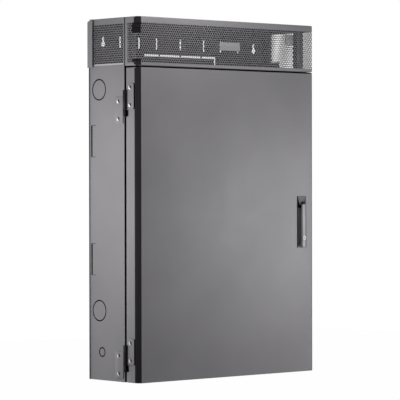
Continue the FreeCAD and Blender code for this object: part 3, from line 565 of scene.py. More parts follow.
class Finishes:
    """Every finish of the cabinet, made once."""

    FINE_GRAIN = 1500.0

    def __init__(self) -> None:
        """Make the materials."""
        fine = self.FINE_GRAIN
        self.coat = PowderCoat("grey_powder_coat", (137, 135, 138)).make()
        # Painted shade: the grey coat made dark for inner faces and parts, which lie in shade.
        self.inside = PowderCoat("grey_powder_coat_shaded_inside", (60, 58, 61)).make()
        self.mesh = PowderCoat("grey_powder_coat_mesh", (140, 138, 141)).make()
        # Black coat of the bevels and the bands beside them, also painted shade in the handle
        # cup.
        self.edge = PowderCoat("black_corner_coat_and_painted_shade", (42, 40, 43), drift=0.05, gloss=0.85,
                               sheen=0.04).make()
        self.groove = PowderCoat("groove_shadow_coat", (12, 12, 13), drift=0.02, gloss=0.9,
                                 sheen=0.02).make()
        # Black coat of the knuckles, also painted shade on the left corner bracket.
        self.black = PowderCoat("satin_black_coat_and_painted_shade", (26, 25, 27), drift=0.06, gloss=0.45,
                                sheen=0.3).make()
        # Coat of the lever, also painted light deep in the handle cup.
        self.handle = PowderCoat("handle_coat_and_painted_light", (160, 159, 162), drift=0.02, gloss=0.36,
                                 grain=fine).make()
        self.cup = PowderCoat("handle_cup_coat", (92, 90, 93), drift=0.02, gloss=0.45,
                              grain=fine).make()
        # Painted shade: a darker copy of the lever's coat for faces that turn away from the
        # light.
        self.flank = PowderCoat("lever_flank_painted_shade", (112, 110, 113), drift=0.02,
                                gloss=0.4).make()
        # Painted highlight: near white for the sill's sloping top, where light catches.
        self.sill = PowderCoat("pressed_sill_painted_highlight", (200, 199, 202), drift=0.02,
                               gloss=0.36).make()
        self.badge = PowderCoat("bare_plate_coat", (152, 151, 154), drift=0.02, gloss=0.34,
                                grain=fine).make()
        self.screw = Plated("dark_zinc_screw", (74, 74, 77), gloss=0.34).make()
        # Painted highlight: near white that stands in for reflected light on screws, the lock
        # ring and a bracket.
        self.painted_highlight = PowderCoat("painted_highlight_white", (252, 252, 253), drift=0.01, gloss=0.3,
                                grain=fine).make()
        self.steel = Plated("turned_steel", (168, 168, 172), gloss=0.32,
                            stretch=(1, 1, 12)).make()
        self.chrome = Plated("polished_ring", (232, 232, 234), gloss=0.16).make()
        self.core = Plated("lock_core", (168, 166, 168), gloss=0.4).make()


def dress(obj: Object, *materials: Material) -> Object:
    """Give an object these materials and no others.

    Args:
        obj: the object to dress.
        materials: its materials, the main one first.

    Returns:
        The same object.
    """
    obj.data.materials.clear()
    for material in materials:
        obj.data.materials.append(material)
    return obj


def paint(obj: Object, materials: Sequence[Material],
          choose: Callable[[Face], Material]) -> Object:
    """Dress an object and give each face its own material.

    Args:
        obj: the object to paint.
        materials: every material it wears, the main one first.
        choose: gives one of them for a face.

    Returns:
        The same object.
    """
    dress(obj, *materials)
    for face in obj.data.polygons:
        face.material_index = materials.index(choose(face))
    return obj


def fit(piece: Object, body: str, slot: str, *nodes: str) -> Object:
    """Let a modelled piece ride on a body, and report it.

    Args:
        piece: the modelled piece.
        body: the body that it moves with.
        slot: name of a material slot; not used.
        nodes: the CAD nodes that it stands for, if any.

    Returns:
        The same piece.
    """
    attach(piece, body)
    if nodes:
        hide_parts(*nodes)
    LOG.info("%s rides on %s: %d faces", piece.name, body, len(piece.data.polygons))
    return piece


# ------------------------------------------------------------------------------ folded pans
@dataclass
class FoldedPan:
    """Shallow pan folded from sheet, with bevelled upright edges and a lip round its back."""

    node: str
    name: str
    sheet: float = 0.0016
    bevel: float = 0.0105
    lip: float = 0.014
    fold: float = 0.0021
    fold_steps: int = 3
    black_from: float = 0.3
    black_bend: float = 0.03
    band: float = 0.0065
    reach: float = 0.0

    def shape(self) -> Object:
        """Fold the sheet between the corners of its CAD node.

        Returns:
            The pan, open at the back.
        """
        low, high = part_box(self.node)
        high.y += self.reach
        pan = Bench.block(self.name, low, high)
        Bench.bevel_edges(pan, lambda a, b: abs(a.y - low.y) + abs(b.y - low.y) < NEAR
                          and abs(a.x - b.x) < NEAR, self.bevel)
        Bench.edit(pan, "FACE", lambda centre, normal: normal.y > SQUARE)
        bpy.ops.mesh.inset(thickness=self.lip)
        bpy.ops.mesh.delete(type="FACE")
        Bench.done()
        Bench.soften(pan, self.fold, self.fold_steps)
        Bench.finish(pan, "SOLIDIFY", thickness=self.sheet, offset=-1, use_even_offset=True)
        return pan

    def paint(self, pan: Object, finishes: Finishes, dark: Test = nowhere) -> None:
        """Grey all over, black on both bevels and a band beside them, dark at the back.

        Args:
            pan: the folded sheet.
            finishes: the cabinet's finishes.
            dark: says which other faces lie in shadow.
        """
        low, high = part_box(self.node)
        line = low.y + self.bevel + self.band
        Bench.split(pan, (0, line, 0), (0, 1, 0))

        def choose(face: Face) -> Material:
            """Choose one face's finish.

            Args:
                face: a face of the pan.

            Returns:
                Shadow, black or grey.
            """
            across, ahead = abs(face.normal.x), abs(face.normal.y)
            slanted = min(across, ahead) > self.black_from or across > ahead > self.black_bend
            beside = abs(face.center.x) > high.x - NEAR and face.center.y < line
            rear = face.normal.y > SQUARE and face.center.y > high.y - NEAR
            if dark(face):
                return finishes.groove
            if slanted or beside:
                return finishes.edge
            return finishes.groove if rear else finishes.coat

        paint(pan, (finishes.coat, finishes.edge, finishes.groove), choose)
        Bench.smooth(pan)


@dataclass
class Door(FoldedPan):
    """The door, with its opening for the handle cup."""

    node: str = "door_shell"
    name: str = "door_skin"
    rim: float = 0.0012
    notch: float = 0.006
    notch_deep: float = 0.012
    gap_shade: float = 0.0035
    gap_shade_inset: float = 0.006
    gap_shade_edge: float = 0.0008

    def build(self, finishes: Finishes) -> None:
        """Model, paint and hang the door.

        Args:
            finishes: the cabinet's finishes.
        """
        door = self.shape()
        low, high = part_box("handle_cup")
        inset = Vector((self.rim, 0, self.rim))
        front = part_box(self.node)[0].y
        cutter = Bench.block("cup_cutter", Vector((low.x, front - self.lip, low.z)) + inset,
                             Vector((high.x, front + self.lip, high.z)) - inset)
        Bench.carve(door, cutter)
        self.cut_notches(door)
        self.paint(door, finishes)
        fit(door, "door", "powder_coat", self.node)
        self.gap_shade_strip(finishes)

    def cut_notches(self, door: Object) -> None:
        """Clear the door's rear corner beside the fixed knuckle of both hinges.

        Args:
            door: the door's skin.
        """
        low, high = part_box(self.node)
        for where in Hinges.PLACES:
            foot, head = Hinges.knuckle_span(f"hinge_box_leaf_{where}")
            cutter = Bench.block("notch_cutter",
                                 (low.x - self.notch, high.y - self.notch_deep, foot),
                                 (low.x + self.notch, high.y + self.notch, head))
            Bench.carve(door, cutter)

    def gap_shade_strip(self, finishes: Finishes) -> None:
        """Dark strip on the door's head, painted shade that darkens the gap under the hood.

        Args:
            finishes: the cabinet's finishes.
        """
        low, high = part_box(self.node)
        inset = self.gap_shade_inset
        strip = Bench.block("door_head_gap_shade", (low.x + inset, low.y + self.bevel, high.z),
                            (high.x, high.y - self.lip - inset, high.z + self.gap_shade))
        Bench.soften(strip, self.gap_shade_edge)
        dress(strip, finishes.groove)
        fit(strip, "door", "black_hinge")


@dataclass
class Hood(FoldedPan):
    """The vent hood's frame and its perforated sheets."""

    node: str = "vent_cover"
    name: str = "hood_frame"
    fold: float = 0.003
    band: float = 0.009
    reach: float = 0.006
    window_share: float = 1.1
    facing_down: float = 0.5
    rows: int = 18
    open_share: float = 0.86
    corner_wide: float = 0.017
    corner_high: float = 0.0305
    corner_low: float = 0.009

    def build(self, finishes: Finishes) -> None:
        """Model, paint and fix the hood, whose window goes round both bevels.

        Args:
            finishes: the cabinet's finishes.
        """
        pan = self.shape()
        low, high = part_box(self.node)
        face_low, face_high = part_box("cover_screen_front")
        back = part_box("cover_screen_side_left")[1].y
        cutter = Bench.block("window_cutter",
                             (low.x * self.window_share, low.y - self.lip, face_low.z),
                             (high.x * self.window_share, back, face_high.z))
        Bench.carve(pan, cutter)
        # The faces over the window that face down take the shadow coat as painted shade.
        self.paint(pan, finishes, lambda face: face.normal.z < -self.facing_down
                   and face.center.z > face_high.z - NEAR)
        fit(pan, "cabinet", "powder_coat", self.node)
        self.screens(finishes, face_low.z, face_high.z, back)

    def screens(self, finishes: Finishes, foot: float, head: float, back: float) -> None:
        """Model the perforated front, bevels and sides.

        Args:
            finishes: the cabinet's finishes.
            foot: height of the sheets' lower edge.
            head: height of their upper edge.
            back: depth of the side sheets' rear edge.
        """
        low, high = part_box(self.node)
        sheet = PerforatedSheet(head - foot, self.rows, self.open_share)
        tip, turn = high.x - self.bevel, low.y + self.bevel
        slant, half = self.bevel * math.sqrt(2), self.bevel / 2
        places = (
            ("front", Facing.FRONT, 2 * tip, (0, low.y)),
            ("bevel_left", Facing.LEFT_BEVEL, slant, (-tip - half, low.y + half)),
            ("bevel_right", Facing.RIGHT_BEVEL, slant, (tip + half, low.y + half)),
            ("side_left", Facing.LEFT, back - turn, (low.x, (back + turn) / 2)),
            ("side_right", Facing.RIGHT, back - turn, (high.x, (back + turn) / 2)),
        )

        def corner(face: Face) -> Material:
            """Blacken the head and foot of a sheet beside the hood's bevel.

            Args:
                face: a face of the sheet.

            Returns:
                Black there and grey elsewhere.
            """
            beside = face.center.y < turn + self.corner_wide
            above = face.center.z > head - self.corner_high
            under = face.center.z < foot + self.corner_low
            return finishes.edge if beside and (above or under) else finishes.mesh

        for name, facing, width, (across, depth) in places:
            piece = sheet.make(f"hood_mesh_{name}", width, facing, (across, depth, foot))
            if facing is Facing.FRONT:
                dress(piece, finishes.mesh)
            else:
                paint(piece, (finishes.mesh, finishes.edge), corner)
            fit(piece, "cabinet", "powder_coat", f"cover_screen_{name}")


@dataclass
class PerforatedSheet:
    """Sheet with staggered round holes whose rows fit its height."""

    height: float
    rows: int
    open_share: float
    sheet: float = 0.0009
    sides: int = 12
    spare_columns: int = 3
    spare_pairs: int = 2
    rows_below: float = 1.5
    merge_share: int = 100

    @property
    def rise(self) -> float:
        """Height of one row."""
        return self.height / self.rows

    @property
    def pitch(self) -> float:
        """Distance between holes in a row."""
        return self.rise * 2 / math.sqrt(3)

    def cell(self, across: float, along: float) -> Object:
        """Model one six-sided cell of sheet with a round hole.

        Args:
            across: place of its middle along the row.
            along: place of its middle up the sheet.

        Returns:
            The cell, lying flat.
        """
        Bench.clear()
        place = (across, along, 0)
        bpy.ops.mesh.primitive_circle_add(vertices=6, radius=self.pitch / math.sqrt(3),
                                          location=place)
        cell = Bench.settle(bpy.context.active_object)
        Bench.edit(cell, "EDGE")
        bpy.ops.mesh.subdivide(number_cuts=1)
        bpy.ops.mesh.primitive_circle_add(vertices=self.sides, location=place,
                                          radius=self.pitch * self.open_share / 2)
        bpy.ops.mesh.select_all(action="SELECT")
        bpy.ops.mesh.bridge_edge_loops()
        Bench.done()
        return cell

    def field(self, name: str, width: float) -> Object:
        """Model cells over the whole sheet, trimmed to its width and height.

        Args:
            name: the sheet's name.
            width: its width.

        Returns:
            The sheet with no thickness, lying flat.
        """
        columns = math.ceil(width / self.pitch) + self.spare_columns
        start = -self.pitch * (columns - 1) / 2
        foot = -self.rows_below * self.rise
        field = Bench.join(name, [self.cell(start, foot),
                                  self.cell(start + self.pitch / 2, foot + self.rise)])
        steps = (((self.pitch, 0, 0), columns),
                 ((0, 2 * self.rise, 0), self.rows // 2 + self.spare_pairs))
        for step, count in steps:
            Bench.finish(field, "ARRAY", use_relative_offset=False, use_constant_offset=True,
                         constant_offset_displace=step, count=count, use_merge_vertices=True,
                         merge_threshold=self.pitch / self.merge_share)
        half = width / 2
        for point, outward in (((-half, 0, 0), (-1, 0, 0)), ((half, 0, 0), (1, 0, 0)),
                               ((0, 0, 0), (0, -1, 0)), ((0, self.height, 0), (0, 1, 0))):
            Bench.split(field, point, outward, clear_outer=True)
        return field

    def make(self, name: str, width: float, facing: Facing,
             foot: tuple[float, float, float]) -> Object:
        """Model a sheet and stand it up.

        Args:
            name: the piece's name.
            width: length of the sheet along its face.
            facing: the way it faces.
            foot: middle of its lower edge, on its outer face.

        Returns:
            The finished sheet.
        """
        field = self.field(name, width)
        if field.data.polygons[0].normal.z < 0:
            Bench.edit(field)
            bpy.ops.mesh.flip_normals()
            Bench.done()
        field.rotation_euler = (math.pi / 2, 0, facing.value)
        field.location = foot
        Bench.settle(field)
        return Bench.finish(field, "SOLIDIFY", thickness=self.sheet, offset=-1)


@dataclass
class SideVents:
    """Perforated vents in the sides of the box, each over a pressed sill."""

    rows: int = 18
    open_share: float = 0.86
    sill: float = 0.004
    sill_out: float = 0.0012

    def build(self, finishes: Finishes) -> None:
        """Model both vents and the sill under each.

        Args:
            finishes: the cabinet's finishes.
        """
        for name, facing in (("left", Facing.LEFT), ("right", Facing.RIGHT)):
            low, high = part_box(f"side_screen_{name}")
            outside = low.x if facing is Facing.LEFT else high.x
            sheet = PerforatedSheet(high.z - low.z, self.rows, self.open_share)
            piece = sheet.make(f"side_mesh_{name}", high.y - low.y, facing,
                               (outside, (low.y + high.y) / 2, low.z))
            dress(piece, finishes.mesh)
            fit(piece, "cabinet", "powder_coat", f"side_screen_{name}")
            ledge = self.pressed_sill(f"vent_sill_{name}", outside, low, high)
            # The sill takes a near white coat as painted highlight.
            dress(ledge, finishes.sill)
            fit(ledge, "cabinet", "powder_coat")

    def pressed_sill(self, name: str, outside: float, low: Vector, high: Vector) -> Object:
        """Model a small ledge that slopes out from the wall under a vent.

        Args:
            name: the piece's name.
            outside: where the wall's outer face is.
            low: lowest corner of the vent.
            high: its highest corner.

        Returns:
            The ledge.
        """
        reach = outside + math.copysign(self.sill_out, outside)

        def slope(place: Vector) -> Vector:
            """Bring the ledge's head to the wall's face."""
            return Vector((outside if place.z > low.z - NEAR else place.x, place.y, place.z))

        return Bench.wedge(name, (min(outside, reach), low.y, low.z - self.sill),
                           (max(outside, reach), high.y, low.z), slope)


# ------------------------------------------------------------------------------ hinges
@dataclass
class Hinges:
    """Two lift-off hinges with painted leaves, black knuckles and domed screws."""

    PLACES = ("lower", "upper")
    KNUCKLE_OUT = 0.0015

    leaf: float = 0.003
    leaf_edge: float = 0.0004
    front_edge: float = 0.4
    corner: float = 0.006
    corner_steps: int = 5
    rim_share: float = 0.8
    pad: float = 0.0018
    arm_reach: float = 0.011
    barrel_sides: int = 40
    barrel_edge: float = 0.0005
    dome: float = 0.0060
    dome_height: float = 0.0034
    dome_sides: int = 28
    highlight_side: tuple[float, float, float] = (0.0, 0.9, -0.44)
    painted_light_from: float = -0.22
    smooth_to: float = 50.0
    slot_width: float = 0.0011
    slot_deep: float = 0.0010
    slot_reach: float = 0.4
    slot_over: float = 0.001
    skin: float = 0.0001
    screws_apart: float = 0.012

    def build(self, finishes: Finishes) -> None:
        """Model the leaves with their knuckles, and the screws.

        Args:
            finishes: the cabinet's finishes.
        """
        for where in self.PLACES:
            self.half(finishes, f"hinge_box_leaf_{where}", "cabinet")
            self.half(finishes, f"hinge_door_leaf_{where}", "door")
        self.screws(finishes, "hinge_box_screws", "cabinet")
        self.screws(finishes, "hinge_door_screws", "door")

    def half(self, finishes: Finishes, node: str, body: str) -> None:
        """Model one leaf, its arm and its knuckle.

        Args:
            finishes: the cabinet's finishes.
            node: CAD node of the leaf.
            body: the body that it is screwed to.
        """
        low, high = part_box(node)
        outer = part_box("door_shell")[0].x
        axis = middle(f"hinge_pin_{node.rpartition('_')[2]}")
        radius = axis.x - low.x
        tangent = axis.x + radius
        foot, head = self.knuckle_span(node)
        leaf_foot = self.foot(node)
        on_door = body == "door"
        if on_door:
            leaf_low, leaf_high = low.y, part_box("door_shell")[1].y - self.arm_reach
            arm_low, arm_high, arm_foot = leaf_high, axis.y, leaf_foot
        else:
            leaf_low, leaf_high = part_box("side_screen_left")[0].y, high.y
            arm_low, arm_high, arm_foot = axis.y, leaf_low, foot
        plate = Bench.block(f"{node}_plate", (outer - self.leaf, leaf_low, leaf_foot),
                            (outer, leaf_high, high.z))
        if on_door:
            Bench.bevel_edges(plate, lambda a, b: abs(a.y - low.y) + abs(b.y - low.y) < NEAR
                              and abs(a.z - b.z) < NEAR, self.corner, self.corner_steps)
        Bench.soften(plate, self.leaf_edge)
        # The leaf's front edge takes the shadow coat as painted shade.
        paint(plate, (finishes.coat, finishes.groove),
              lambda face: finishes.groove if face.normal.y < -self.front_edge
              else finishes.coat)
        parts = [plate]
        if on_door:
            parts.append(self.rim(finishes, outer, low.y, leaf_foot, high.z))
        arm = Bench.block(f"{node}_arm", (tangent - self.leaf, arm_low, arm_foot),
                          (tangent, arm_high, head))
        barrel = Bench.rod(f"{node}_barrel", (axis.x, axis.y, (foot + head) / 2), radius,
                           head - foot, sides=self.barrel_sides)
        Bench.soften(barrel, self.barrel_edge)
        parts += [dress(arm, finishes.black), dress(barrel, finishes.black)]
        piece = Bench.join(f"{node}_dressed", parts)
        Bench.smooth(piece)
        fit(piece, body, "black_hinge", node)

    def rim(self, finishes: Finishes, outer: float, front: float, foot: float,
            head: float) -> Object:
        """Model a strip of painted shade along a leaf's front edge, with the leaf's round
        corners.

        Args:
            finishes: the cabinet's finishes.
            outer: where the door's side face is.
            front: depth of the leaf's front edge.
            foot: height of the leaf's foot.
            head: height of its head.

        Returns:
            The strip of painted shade.
        """
        rim = Bench.block("leaf_rim",
                          (outer - self.leaf * self.rim_share, front - self.pad, foot),
                          (outer, front + self.corner, head))
        Bench.bevel_edges(rim, lambda a, b: abs(a.y - b.y) + abs(a.z - b.z) < NEAR
                          and a.y < front, self.corner, self.corner_steps)
        return dress(rim, finishes.groove)

    @staticmethod
    def foot(node: str) -> float:
        """Foot of a leaf: the lowest part of its CAD node behind the knuckle."""
        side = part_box(node)[1].x - NEAR
        return min(vertex.co.z for vertex in cad(node).data.vertices if vertex.co.x > side)

    @classmethod
    def knuckle_span(cls, node: str) -> tuple[float, float]:
        """Find a knuckle, the part of a leaf's CAD node that stands out most.

        Args:
            node: CAD node of the leaf.

        Returns:
            Heights of the knuckle's foot and head.
        """
        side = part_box(node)[0].x + cls.KNUCKLE_OUT
        heights = [vertex.co.z for vertex in cad(node).data.vertices if vertex.co.x < side]
        return min(heights), max(heights)

    def screw(self, centre: Vector) -> Object:
        """Model one domed screw head with a cross recess.

        Args:
            centre: middle of its seat on the leaf.

        Returns:
            The head.
        """
        Bench.clear()
        bpy.ops.mesh.primitive_uv_sphere_add(segments=self.dome_sides, radius=self.dome,
                                             ring_count=self.dome_sides // 2,
                                             location=(0, 0, 0))
        head = bpy.context.active_object
        head.scale = (1, 1, self.dome_height / self.dome)
        Bench.settle(head)
        Bench.split(head, (0, 0, 0), (0, 0, 1), clear_inner=True, use_fill=True)
        reach, half = self.dome * self.slot_reach, self.slot_width / 2
        for wide, tall in ((reach, half), (half, reach)):
            slot = Bench.block("slot", (-wide, -tall, self.dome_height - self.slot_deep),
                               (wide, tall, self.dome_height + self.slot_over))
            Bench.carve(head, slot)
        head.rotation_euler = (0, -math.pi / 2, 0)
        head.location = centre
        return Bench.settle(head)

    def screw_heights(self, node: str) -> list[float]:
        """Find the screws of a CAD node by the outermost ring of each.

        Args:
            node: CAD node of the screws.

        Returns:
            Height of each screw's middle, from the lowest up.
        """
        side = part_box(node)[0].x + self.skin
        groups: list[list[float]] = []
        for height in sorted({round(vertex.co.z, 4) for vertex in cad(node).data.vertices
                              if vertex.co.x < side}):
            if groups and height - groups[-1][-1] < self.screws_apart:
                groups[-1].append(height)
            else:
                groups.append([height])
        return [(group[0] + group[-1]) / 2 for group in groups]

    def screws(self, finishes: Finishes, node: str, body: str) -> None:
        """Model the four screws of the box leaves or of the door leaves.

        Args:
            finishes: the cabinet's finishes.
            node: CAD node of the screws.
            body: the body that they hold the leaves to.
        """
        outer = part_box("door_shell")[0].x - self.leaf
        depth = middle(node).y
        parts = [self.screw(Vector((outer, depth, height)))
                 for height in self.screw_heights(node)]
        piece = Bench.join(f"{node}_domed", parts)
        # The side of each head that faces this way takes the painted highlight; the rest is dark
        # zinc.
        bright = Vector(self.highlight_side)
        paint(piece, (finishes.screw, finishes.painted_highlight),
              lambda face: finishes.painted_highlight if face.normal.dot(bright) > self.painted_light_from
              else finishes.screw)
        Bench.smooth(piece, self.smooth_to)
        fit(piece, body, "zinc", node)


# ------------------------------------------------------------------------------ handle
@dataclass
class HandlePart:
    """Sizes that the pieces of the handle share."""

    edge: float = 0.0004
    spare: float = 0.002
    fine_sides: int = 48
    lock_cut: float = 0.05
    facing_right: float = 0.15


@dataclass
class HandleCup(HandlePart):
    """Cup with a finger recess that slopes up to its head and foot, and a boss behind it."""

    edge: float = 0.0003
    wall: float = 0.0026
    case_deep: float = 0.020
    floor: float = 0.0012
    boss: float = 0.007
    boss_long: float = 0.014
    shaft: float = 0.0041
    shaft_cut: float = 0.08
    rim_corner: float = 0.0012
    rim_steps: int = 3
    head_ramp: float = 0.005
    foot_ramp: float = 0.008
    clearance: float = 0.0005
    arch: float = 0.009
    arch_rise: float = 0.0047
    painted_light_from: float = 0.008
    shaded_left: float = 0.5
    shaded_down: float = 0.3

    def build(self, finishes: Finishes) -> None:
        """Model the cup: a rim and a case, hollowed for the fingers.

        Args:
            finishes: the cabinet's finishes.
        """
        low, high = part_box("handle_cup")
        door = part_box("door_shell")[0].y
        back = door + self.case_deep
        lap = Vector((self.wall / 2, 0, self.wall / 2))
        cup = Bench.block("handle_cup_dressed", Vector((low.x, door, low.z)) + lap,
                          Vector((high.x, back, high.z)) - lap)
        rim = Bench.block("rim", low, (high.x, door, high.z))
        Bench.bevel_edges(rim, runs_deep, self.rim_corner, self.rim_steps)
        Bench.weld(cup, rim)
        for cutter in self.hollows(low, high, door):
            Bench.carve(cup, cutter)
        pivot = middle("lever_pin")
        Bench.weld(cup, Bench.rod("boss", (pivot.x, back + self.boss_long / 2, pivot.z),
                                  self.boss, self.boss_long, DEEP))
        Bench.carve(cup, Bench.rod("bore", (pivot.x, back, pivot.z), self.shaft,
                                   self.shaft_cut, DEEP))
        Bench.soften(cup, self.edge)
        inside = low.x + self.wall
        Bench.split(cup, (inside, 0, 0), (1, 0, 0))

        def choose(face: Face) -> Material:
            """Choose one face's finish.

            Args:
                face: a face of the cup.

            Returns:
                Painted shade in black where the left rim or a slope lies in shadow, painted
                light deep inside.
            """
            left_rim = face.center.x < inside and face.center.y < door
            down_left = face.normal.x < -self.shaded_left and face.normal.z < -self.shaded_down
            if left_rim or down_left:
                return finishes.edge
            return finishes.handle if face.center.y > door + self.painted_light_from else finishes.cup

        paint(cup, (finishes.cup, finishes.handle, finishes.edge), choose)
        Bench.smooth(cup)
        fit(cup, "door", "handle_paint", "handle_cup")

    def hollows(self, low: Vector, high: Vector, door: float) -> list[Object]:
        """Model what is taken out of the cup, in the order in which it is taken.

        Args:
            low: lowest corner of the cup.
            high: its highest corner.
            door: depth of the door's face.

        Returns:
            The cutters: arch, recess, shoulder, diagonal, and the slopes of head and foot.
        """
        lever_low, lever_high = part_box("handle_lever")
        left, right = low.x + self.wall, high.x - self.wall
        foot, head = low.z + self.wall, high.z - self.wall
        pivot = middle("lever_pin")
        beside = lever_low.x - self.clearance
        shoulder = lever_high.z + 2 * self.clearance
        deep, out = door + self.case_deep - self.floor, low.y - self.spare
        start = foot + self.foot_ramp
        outside = low.y - out

        def diagonal(place: Vector) -> Vector:
            """Narrow the recess's head to its left side."""
            return Vector((left if place.z > head - NEAR else place.x, place.y, place.z))

        def head_slope(place: Vector) -> Vector:
            """Depth from nothing at the head to the ramp's full depth at the pivot."""
            return Vector((place.x, out if place.z > pivot.z + NEAR else place.y, place.z))

        def foot_slope(place: Vector) -> Vector:
            """Depth from nothing at the foot to the recess's floor."""
            return Vector((place.x, out if place.z < start - NEAR else place.y, place.z))

        head_rise = outside * (head - pivot.z) / (door + self.head_ramp - low.y)
        foot_drop = outside * self.foot_ramp / (deep - low.y)
        return [
            Bench.rod("arch", (pivot.x, (out + deep) / 2, pivot.z + self.arch_rise),
                      self.arch, deep - out, DEEP, self.fine_sides),
            Bench.block("recess", (left, out, start), (right, deep, pivot.z)),
            Bench.block("shoulder", (beside, out, pivot.z - NEAR), (right, deep, shoulder)),
            Bench.wedge("diagonal", (left, out, pivot.z - NEAR), (beside, deep, head), diagonal),
            Bench.wedge("head_slope", (left, out, pivot.z),
                        (right, door + self.head_ramp, head + head_rise), head_slope),
            Bench.wedge("foot_slope", (left, out, foot - foot_drop), (right, deep, start + NEAR),
                        foot_slope),
        ]


@dataclass
class Lever(HandlePart):
    """Flat lever that flares towards its foot, with a slanted flank and a round head."""

    ridge: float = 0.0025
    slant: float = 0.0032
    corner: float = 0.0035
    corner_steps: int = 5
    head_drop: float = 0.003
    head_corner: float = 0.0045
    head_steps: int = 8
    tongue: float = 0.0033
    tongue_back: float = 0.0022

    def build(self, finishes: Finishes) -> None:
        """Model the lever, with a slot for the spindle's tongue and a bore for the lock.

        Args:
            finishes: the cabinet's finishes.
        """
        low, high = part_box("handle_lever")
        pivot = middle("lever_pin")
        half = pivot.x - low.x
        high.z -= self.head_drop
        lever = Bench.block("handle_lever_dressed", low, high)
        for vertex in lever.data.vertices:
            if vertex.co.z > pivot.z and vertex.co.x > pivot.x:
                vertex.co.x = pivot.x + half
        Bench.bevel_edges(lever, lambda a, b: min(a.z, b.z) > pivot.z and runs_deep(a, b),
                          self.head_corner, self.head_steps)
        Bench.bevel_edges(lever, lambda a, b: max(a.z, b.z) < low.z + NEAR and runs_deep(a, b),
                          self.corner, self.corner_steps)
        Bench.carve(lever, self.flank(low, high, pivot))
        slot = Bench.block("tongue_slot",
                           (pivot.x - self.tongue, pivot.y - self.tongue_back,
                            pivot.z - self.tongue_back),
                           (pivot.x + self.tongue, high.y + self.spare, high.z + self.spare))
        Bench.carve(lever, slot)
        ring_low, ring_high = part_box("lock_ring")
        bore = Bench.rod("lock_bore", middle("lock_ring"), (ring_high.x - ring_low.x) / 2,
                         self.lock_cut, DEEP, self.fine_sides)
        Bench.carve(lever, bore)
        Bench.soften(lever, self.edge)
        # Faces turned to the right take the darker coat as painted shade.
        paint(lever, (finishes.handle, finishes.flank),
              lambda face: finishes.flank if face.normal.x > self.facing_right
              else finishes.handle)
        Bench.smooth(lever)
        fit(lever, "lever", "handle_paint", "handle_lever")

    def flank(self, low: Vector, high: Vector, pivot: Vector) -> Object:
        """Model what the lever's slanted right flank takes away.

        Args:
            low: lowest corner of the lever.
            high: its highest corner.
            pivot: middle of the lever's pin.

        Returns:
            The cutter.
        """
        ridge, past = pivot.x + self.ridge, 2 * self.spare
        rise = self.slant * (high.x + past - ridge) / (high.x - ridge)

        def slope(place: Vector) -> Vector:
            """Bring the cutter's back to the face at the ridge."""
            inner = place.y > low.y and place.x < ridge + NEAR
            return Vector((place.x, low.y - NEAR if inner else place.y, place.z))

        return Bench.wedge("flank", (ridge, low.y - past, low.z - past),
                           (high.x + past, low.y + rise, high.z + past), slope)


@dataclass
class Lock(HandlePart):
    """Lock in the lever's foot: a polished ring and a plug with a keyway."""

    facing_front: float = 0.5
    plug_play: float = 0.00008
    plug_sides: int = 40
    ring_edge: float = 0.0006
    ring_steps: int = 3
    keyway: float = 0.0014
    keyway_tall: float = 0.0056

    def build(self, finishes: Finishes) -> None:
        """Model both pieces of the lock.

        Args:
            finishes: the cabinet's finishes.
        """
        self.ring(finishes)
        self.plug(finishes)

    def ring(self, finishes: Finishes) -> None:
        """Model the polished ring, with a painted highlight on its front and right faces.

        Args:
            finishes: the cabinet's finishes.
        """
        low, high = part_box("lock_ring")
        plug_low, plug_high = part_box("lock_plug")
        centre, inner = middle("lock_ring"), (plug_high.x - plug_low.x) / 2
        ring = Bench.rod("lock_ring_polished", centre, (high.x - low.x) / 2, high.y - low.y,
                         DEEP, self.fine_sides)
        Bench.carve(ring, Bench.rod("ring_bore", centre, inner + self.plug_play, self.lock_cut,
                                    DEEP, self.fine_sides))
        Bench.soften(ring, self.ring_edge, self.ring_steps)
        paint(ring, (finishes.chrome, finishes.painted_highlight),
              lambda face: finishes.painted_highlight if face.normal.x > self.facing_right
              or face.normal.y < -self.facing_front else finishes.chrome)
        Bench.smooth(ring)
        fit(ring, "lever", "chrome", "lock_ring")

    def plug(self, finishes: Finishes) -> None:
        """Model the plug with its keyway.

        Args:
            finishes: the cabinet's finishes.
        """
        low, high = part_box("lock_plug")
        centre = middle("lock_plug")
        plug = Bench.rod("lock_plug_keyed", centre, (high.x - low.x) / 2, high.y - low.y,
                         DEEP, self.plug_sides)
        Bench.soften(plug, self.edge)
        half, tall = self.keyway / 2, self.keyway_tall / 2
        key = Bench.block("keyway", (centre.x - half, low.y - self.spare, centre.z - tall),
                          (centre.x + half, low.y + 2 * self.spare, centre.z + tall))
        Bench.carve(plug, key)
        dress(plug, finishes.core)
        Bench.smooth(plug)
        fit(plug, "plug", "lock_core", "lock_plug")


@dataclass
class Badge:
    """Bare plate on the hood."""

    corner: float = 0.002
    corner_steps: int = 4
    step: float = 0.0012
    press_share: float = 0.3
    edge: float = 0.0002

    def build(self, finishes: Finishes) -> None:
        """Model the plate with a raised rim and nothing on it.

        Args:
            finishes: the cabinet's finishes.
        """
        plate = Bench.block("badge_plate_bare", *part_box("badge_plate"))
        Bench.bevel_edges(plate, runs_deep, self.corner, self.corner_steps)
        Bench.edit(plate, "FACE", lambda centre, normal: normal.y < -SQUARE)
        press = self.step * self.press_share
        bpy.ops.mesh.inset(thickness=self.step)
        bpy.ops.mesh.inset(thickness=press, depth=-press)
        Bench.done()
        Bench.soften(plate, self.edge)
        dress(plate, finishes.badge)
        Bench.smooth(plate)
        fit(plate, "cabinet", "badge", "badge_plate")


